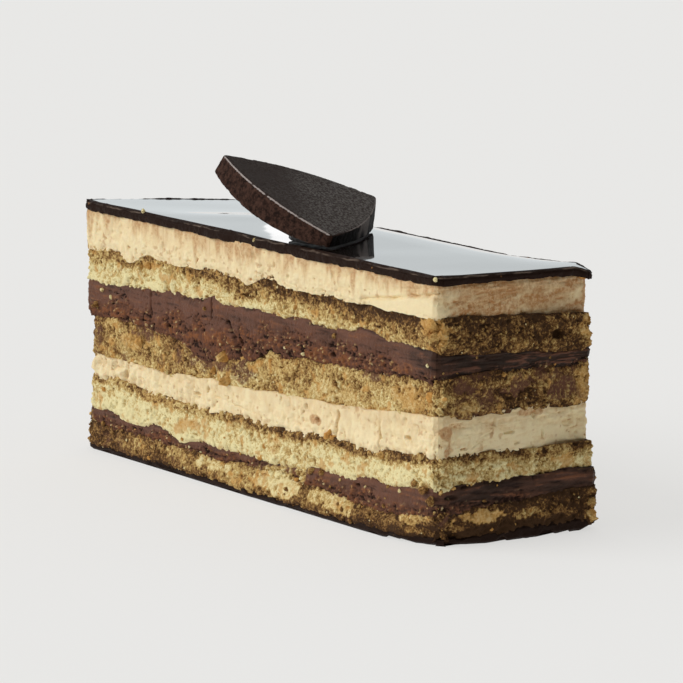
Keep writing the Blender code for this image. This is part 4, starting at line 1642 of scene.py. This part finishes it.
def make_sun(name, direction, strength, angle):
    """A distant soft light that shines from a direction."""
    lamp_data = bpy.data.lights.new(name, "SUN")
    lamp_data.energy = strength
    lamp_data.angle = math.radians(angle)
    lamp = bpy.data.objects.new(name, lamp_data)
    lamp.rotation_euler = Vector(direction).to_track_quat("Z", "Y").to_euler()
    bpy.context.scene.collection.objects.link(lamp)


def make_studio(stage):
    """The studio round the cake: bright low down behind it, with a slim white card, and dim in front."""
    world = bpy.data.worlds.new("studio")
    bpy.context.scene.world = world
    world.use_nodes = True
    wiring = Wiring(world.node_tree)
    azimuth = stage.azimuth
    bright = (-math.sin(azimuth), math.cos(azimuth), GLOW_HEIGHT)
    sideways = (math.cos(azimuth), math.sin(azimuth), 0)
    place = wiring.nodes.new("ShaderNodeTexCoord").outputs["Generated"]

    def towards(direction):
        node = wiring.nodes.new("ShaderNodeVectorMath")
        node.operation = "DOT_PRODUCT"
        wiring.links.new(place, node.inputs[0])
        node.inputs[1].default_value = Vector(direction).normalized()
        return node.outputs["Value"]

    ahead = towards(bright)
    aside = towards(sideways)
    glow = wiring.ramp(ahead, *GLOW_EDGE)
    dim = wiring.ramp(ahead, *DUSK_EDGE, stage.dusk, 3 * stage.dusk)
    level = wiring.maths("MAXIMUM", dim, wiring.times(glow, stage.glow))
    card = wiring.times(
        wiring.ramp(aside, CARD_LEFT - CARD_SOFT, CARD_LEFT + CARD_SOFT),
        wiring.ramp(aside, CARD_RIGHT + CARD_SOFT, CARD_RIGHT - CARD_SOFT),
    )
    card = wiring.times(card, wiring.ramp(ahead, *CARD_EDGE))
    card = wiring.times(card, wiring.ramp(towards((0, 0, 1)), *CARD_FOOT))
    colour = wiring.mix(card, STUDIO_COLOUR, CARD_COLOUR)
    level = wiring.maths("ADD", level, wiring.times(card, stage.card - stage.glow))
    background = wiring.nodes["Background"]
    wiring.links.new(colour, background.inputs["Color"])
    wiring.links.new(level, background.inputs["Strength"])


def make_camera(stage):
    turn, rise = stage.azimuth, stage.elevation
    back = Vector((math.sin(turn) * math.cos(rise), -math.cos(turn) * math.cos(rise), math.sin(rise)))
    right = Vector((math.cos(turn), math.sin(turn), 0))
    camera_data = bpy.data.cameras.new("camera")
    camera_data.lens = stage.lens
    camera_data.sensor_width = SENSOR_WIDTH
    camera_data.clip_end = 20
    camera = bpy.data.objects.new("camera", camera_data)
    camera.location = right * stage.aim_right + Vector((0, 0, stage.aim_up)) + back * stage.distance
    camera.rotation_euler = back.to_track_quat("Z", "Y").to_euler()
    bpy.context.scene.collection.objects.link(camera)
    bpy.context.scene.camera = camera


# Operators


class OPERA_OT_sponges(bpy.types.Operator):
    """Works the four almond sponges"""

    bl_idname = "opera.sponges"
    bl_label = "Sponges"

    def execute(self, context):
        sizes, colours = context.scene.cake_sizes, context.scene.cake_colours
        slots = ("pale_sponge", "soaked_sponge")
        materials = {slot: sponge_material(slot.replace("_", " "), colours) for slot in slots}
        for look in SPONGES:
            hand_over_layer(work_sponge(look, sizes), materials[look.slot], look.slot, look.node)
        return {"FINISHED"}


class OPERA_OT_creams(bpy.types.Operator):
    """Works the two layers of coffee buttercream"""

    bl_idname = "opera.creams"
    bl_label = "Buttercreams"

    def execute(self, context):
        material = cream_material(context.scene.cake_colours)
        for look in CREAMS:
            hand_over_layer(work_cream(look, context.scene.cake_sizes), material, "buttercream", look.node)
        return {"FINISHED"}


class OPERA_OT_ganaches(bpy.types.Operator):
    """Works the two layers of ganache and the dab under the fan"""

    bl_idname = "opera.ganaches"
    bl_label = "Ganaches"

    def execute(self, context):
        sizes, colours = context.scene.cake_sizes, context.scene.cake_colours
        material = ganache_material(colours)
        for look in GANACHES:
            hand_over_layer(work_ganache(look, sizes), material, "ganache", look.node)
        dab = work_dab(sizes)
        glossy, *_ = cocoa_material(
            "glossy ganache", colours.glaze, colours.glaze_edge, colours.glaze,
            roughness=0.35, grain=0.03 * MM, Specular_IOR_Level=0.12,
        )
        dab.data.materials.append(glossy)
        hand_over(dab, "ganache", "ganache_dab")
        return {"FINISHED"}


class OPERA_OT_glaze(bpy.types.Operator):
    """Works the mirror glaze"""

    bl_idname = "opera.glaze"
    bl_label = "Glaze"

    def execute(self, context):
        colours = context.scene.cake_colours
        piece = work_glaze(context.scene.cake_sizes)
        paint_glaze(piece, mirror_glaze_material(colours), glaze_edge_material(colours))
        smooth(piece, 50)
        hand_over(piece, "glaze", "glaze")
        return {"FINISHED"}


class OPERA_OT_base(bpy.types.Operator):
    """Works the thin chocolate under the cake"""

    bl_idname = "opera.base"
    bl_label = "Base chocolate"

    def execute(self, context):
        colours = context.scene.cake_colours
        piece = work_base(context.scene.cake_sizes)
        material, *_ = cocoa_material(
            "base chocolate", colours.glaze_edge, colours.ganache_deep, colours.glaze,
            roughness=0.5, grain=0.12 * MM, Specular_IOR_Level=0.05,
        )
        hand_over_layer(piece, material, "chocolate", "base_chocolate")
        return {"FINISHED"}


class OPERA_OT_fan(bpy.types.Operator):
    """Works the moulded chocolate fan"""

    bl_idname = "opera.fan"
    bl_label = "Chocolate fan"

    def execute(self, context):
        piece = work_fan(context.scene.cake_sizes)
        piece.data.materials.append(fan_material(context.scene.cake_colours))
        hand_over(piece, "chocolate", "chocolate_fan")
        return {"FINISHED"}


class OPERA_OT_crumbs(bpy.types.Operator):
    """Lays the loose crumbs on the cut sides, after the layers are worked"""

    bl_idname = "opera.crumbs"
    bl_label = "Loose crumbs"

    def execute(self, context):
        colours = context.scene.cake_colours
        for kind, look in CRUMBS.items():
            piece = make_crumbs(kind, context.scene.cake_sizes.strewn)
            piece.data.materials.append(crumb_material(kind.replace("_", " "), colours, look))
            hand_over(piece, look.slot)
        return {"FINISHED"}


class OPERA_OT_stage(bpy.types.Operator):
    """Sets the floor, the light and the camera"""

    bl_idname = "opera.stage"
    bl_label = "Stage"

    def execute(self, context):
        stage = context.scene.cake_stage
        context.scene.view_settings.view_transform = "Standard"
        make_floor(stage, context.scene.cake_colours)
        make_studio(stage)
        make_sun("key light", KEY_FROM, stage.key, KEY_SPREAD)
        make_sun("top light", TOP_FROM, stage.top, TOP_SPREAD)
        make_camera(stage)
        return {"FINISHED"}


class OPERA_PT_sidebar(bpy.types.Panel):
    """Lists the steps of the cake"""

    bl_idname = "OPERA_PT_sidebar"
    bl_label = "Opera Cake"
    bl_space_type = "VIEW_3D"
    bl_region_type = "UI"
    bl_category = "Opera Cake"

    def draw(self, context):
        for step in STEPS:
            self.layout.operator(step.bl_idname)
        for settings in SETTINGS:
            group = getattr(context.scene, settings)
            for name in group.bl_rna.properties.keys():
                if name not in ("rna_type", "name"):
                    self.layout.prop(group, name)


SETTINGS = {"cake_sizes": CakeSizes, "cake_colours": CakeColours, "cake_stage": StageSettings}
STEPS = (
    OPERA_OT_sponges, OPERA_OT_creams, OPERA_OT_ganaches, OPERA_OT_glaze,
    OPERA_OT_base, OPERA_OT_fan, OPERA_OT_crumbs, OPERA_OT_stage,
)
CLASSES = (*SETTINGS.values(), *STEPS, OPERA_PT_sidebar)


def register():
    for cls in CLASSES:
        bpy.utils.register_class(cls)
    for name, settings in SETTINGS.items():
        setattr(bpy.types.Scene, name, PointerProperty(type=settings))


def unregister():
    for name in SETTINGS:
        delattr(bpy.types.Scene, name)
    for cls in reversed(CLASSES):
        bpy.utils.unregister_class(cls)


def main():
    register()
    bpy.ops.opera.sponges()
    bpy.ops.opera.creams()
    bpy.ops.opera.ganaches()
    bpy.ops.opera.glaze()
    bpy.ops.opera.base()
    bpy.ops.opera.fan()
    bpy.ops.opera.crumbs()
    bpy.ops.opera.stage()


if __name__ == "__main__":
    main()
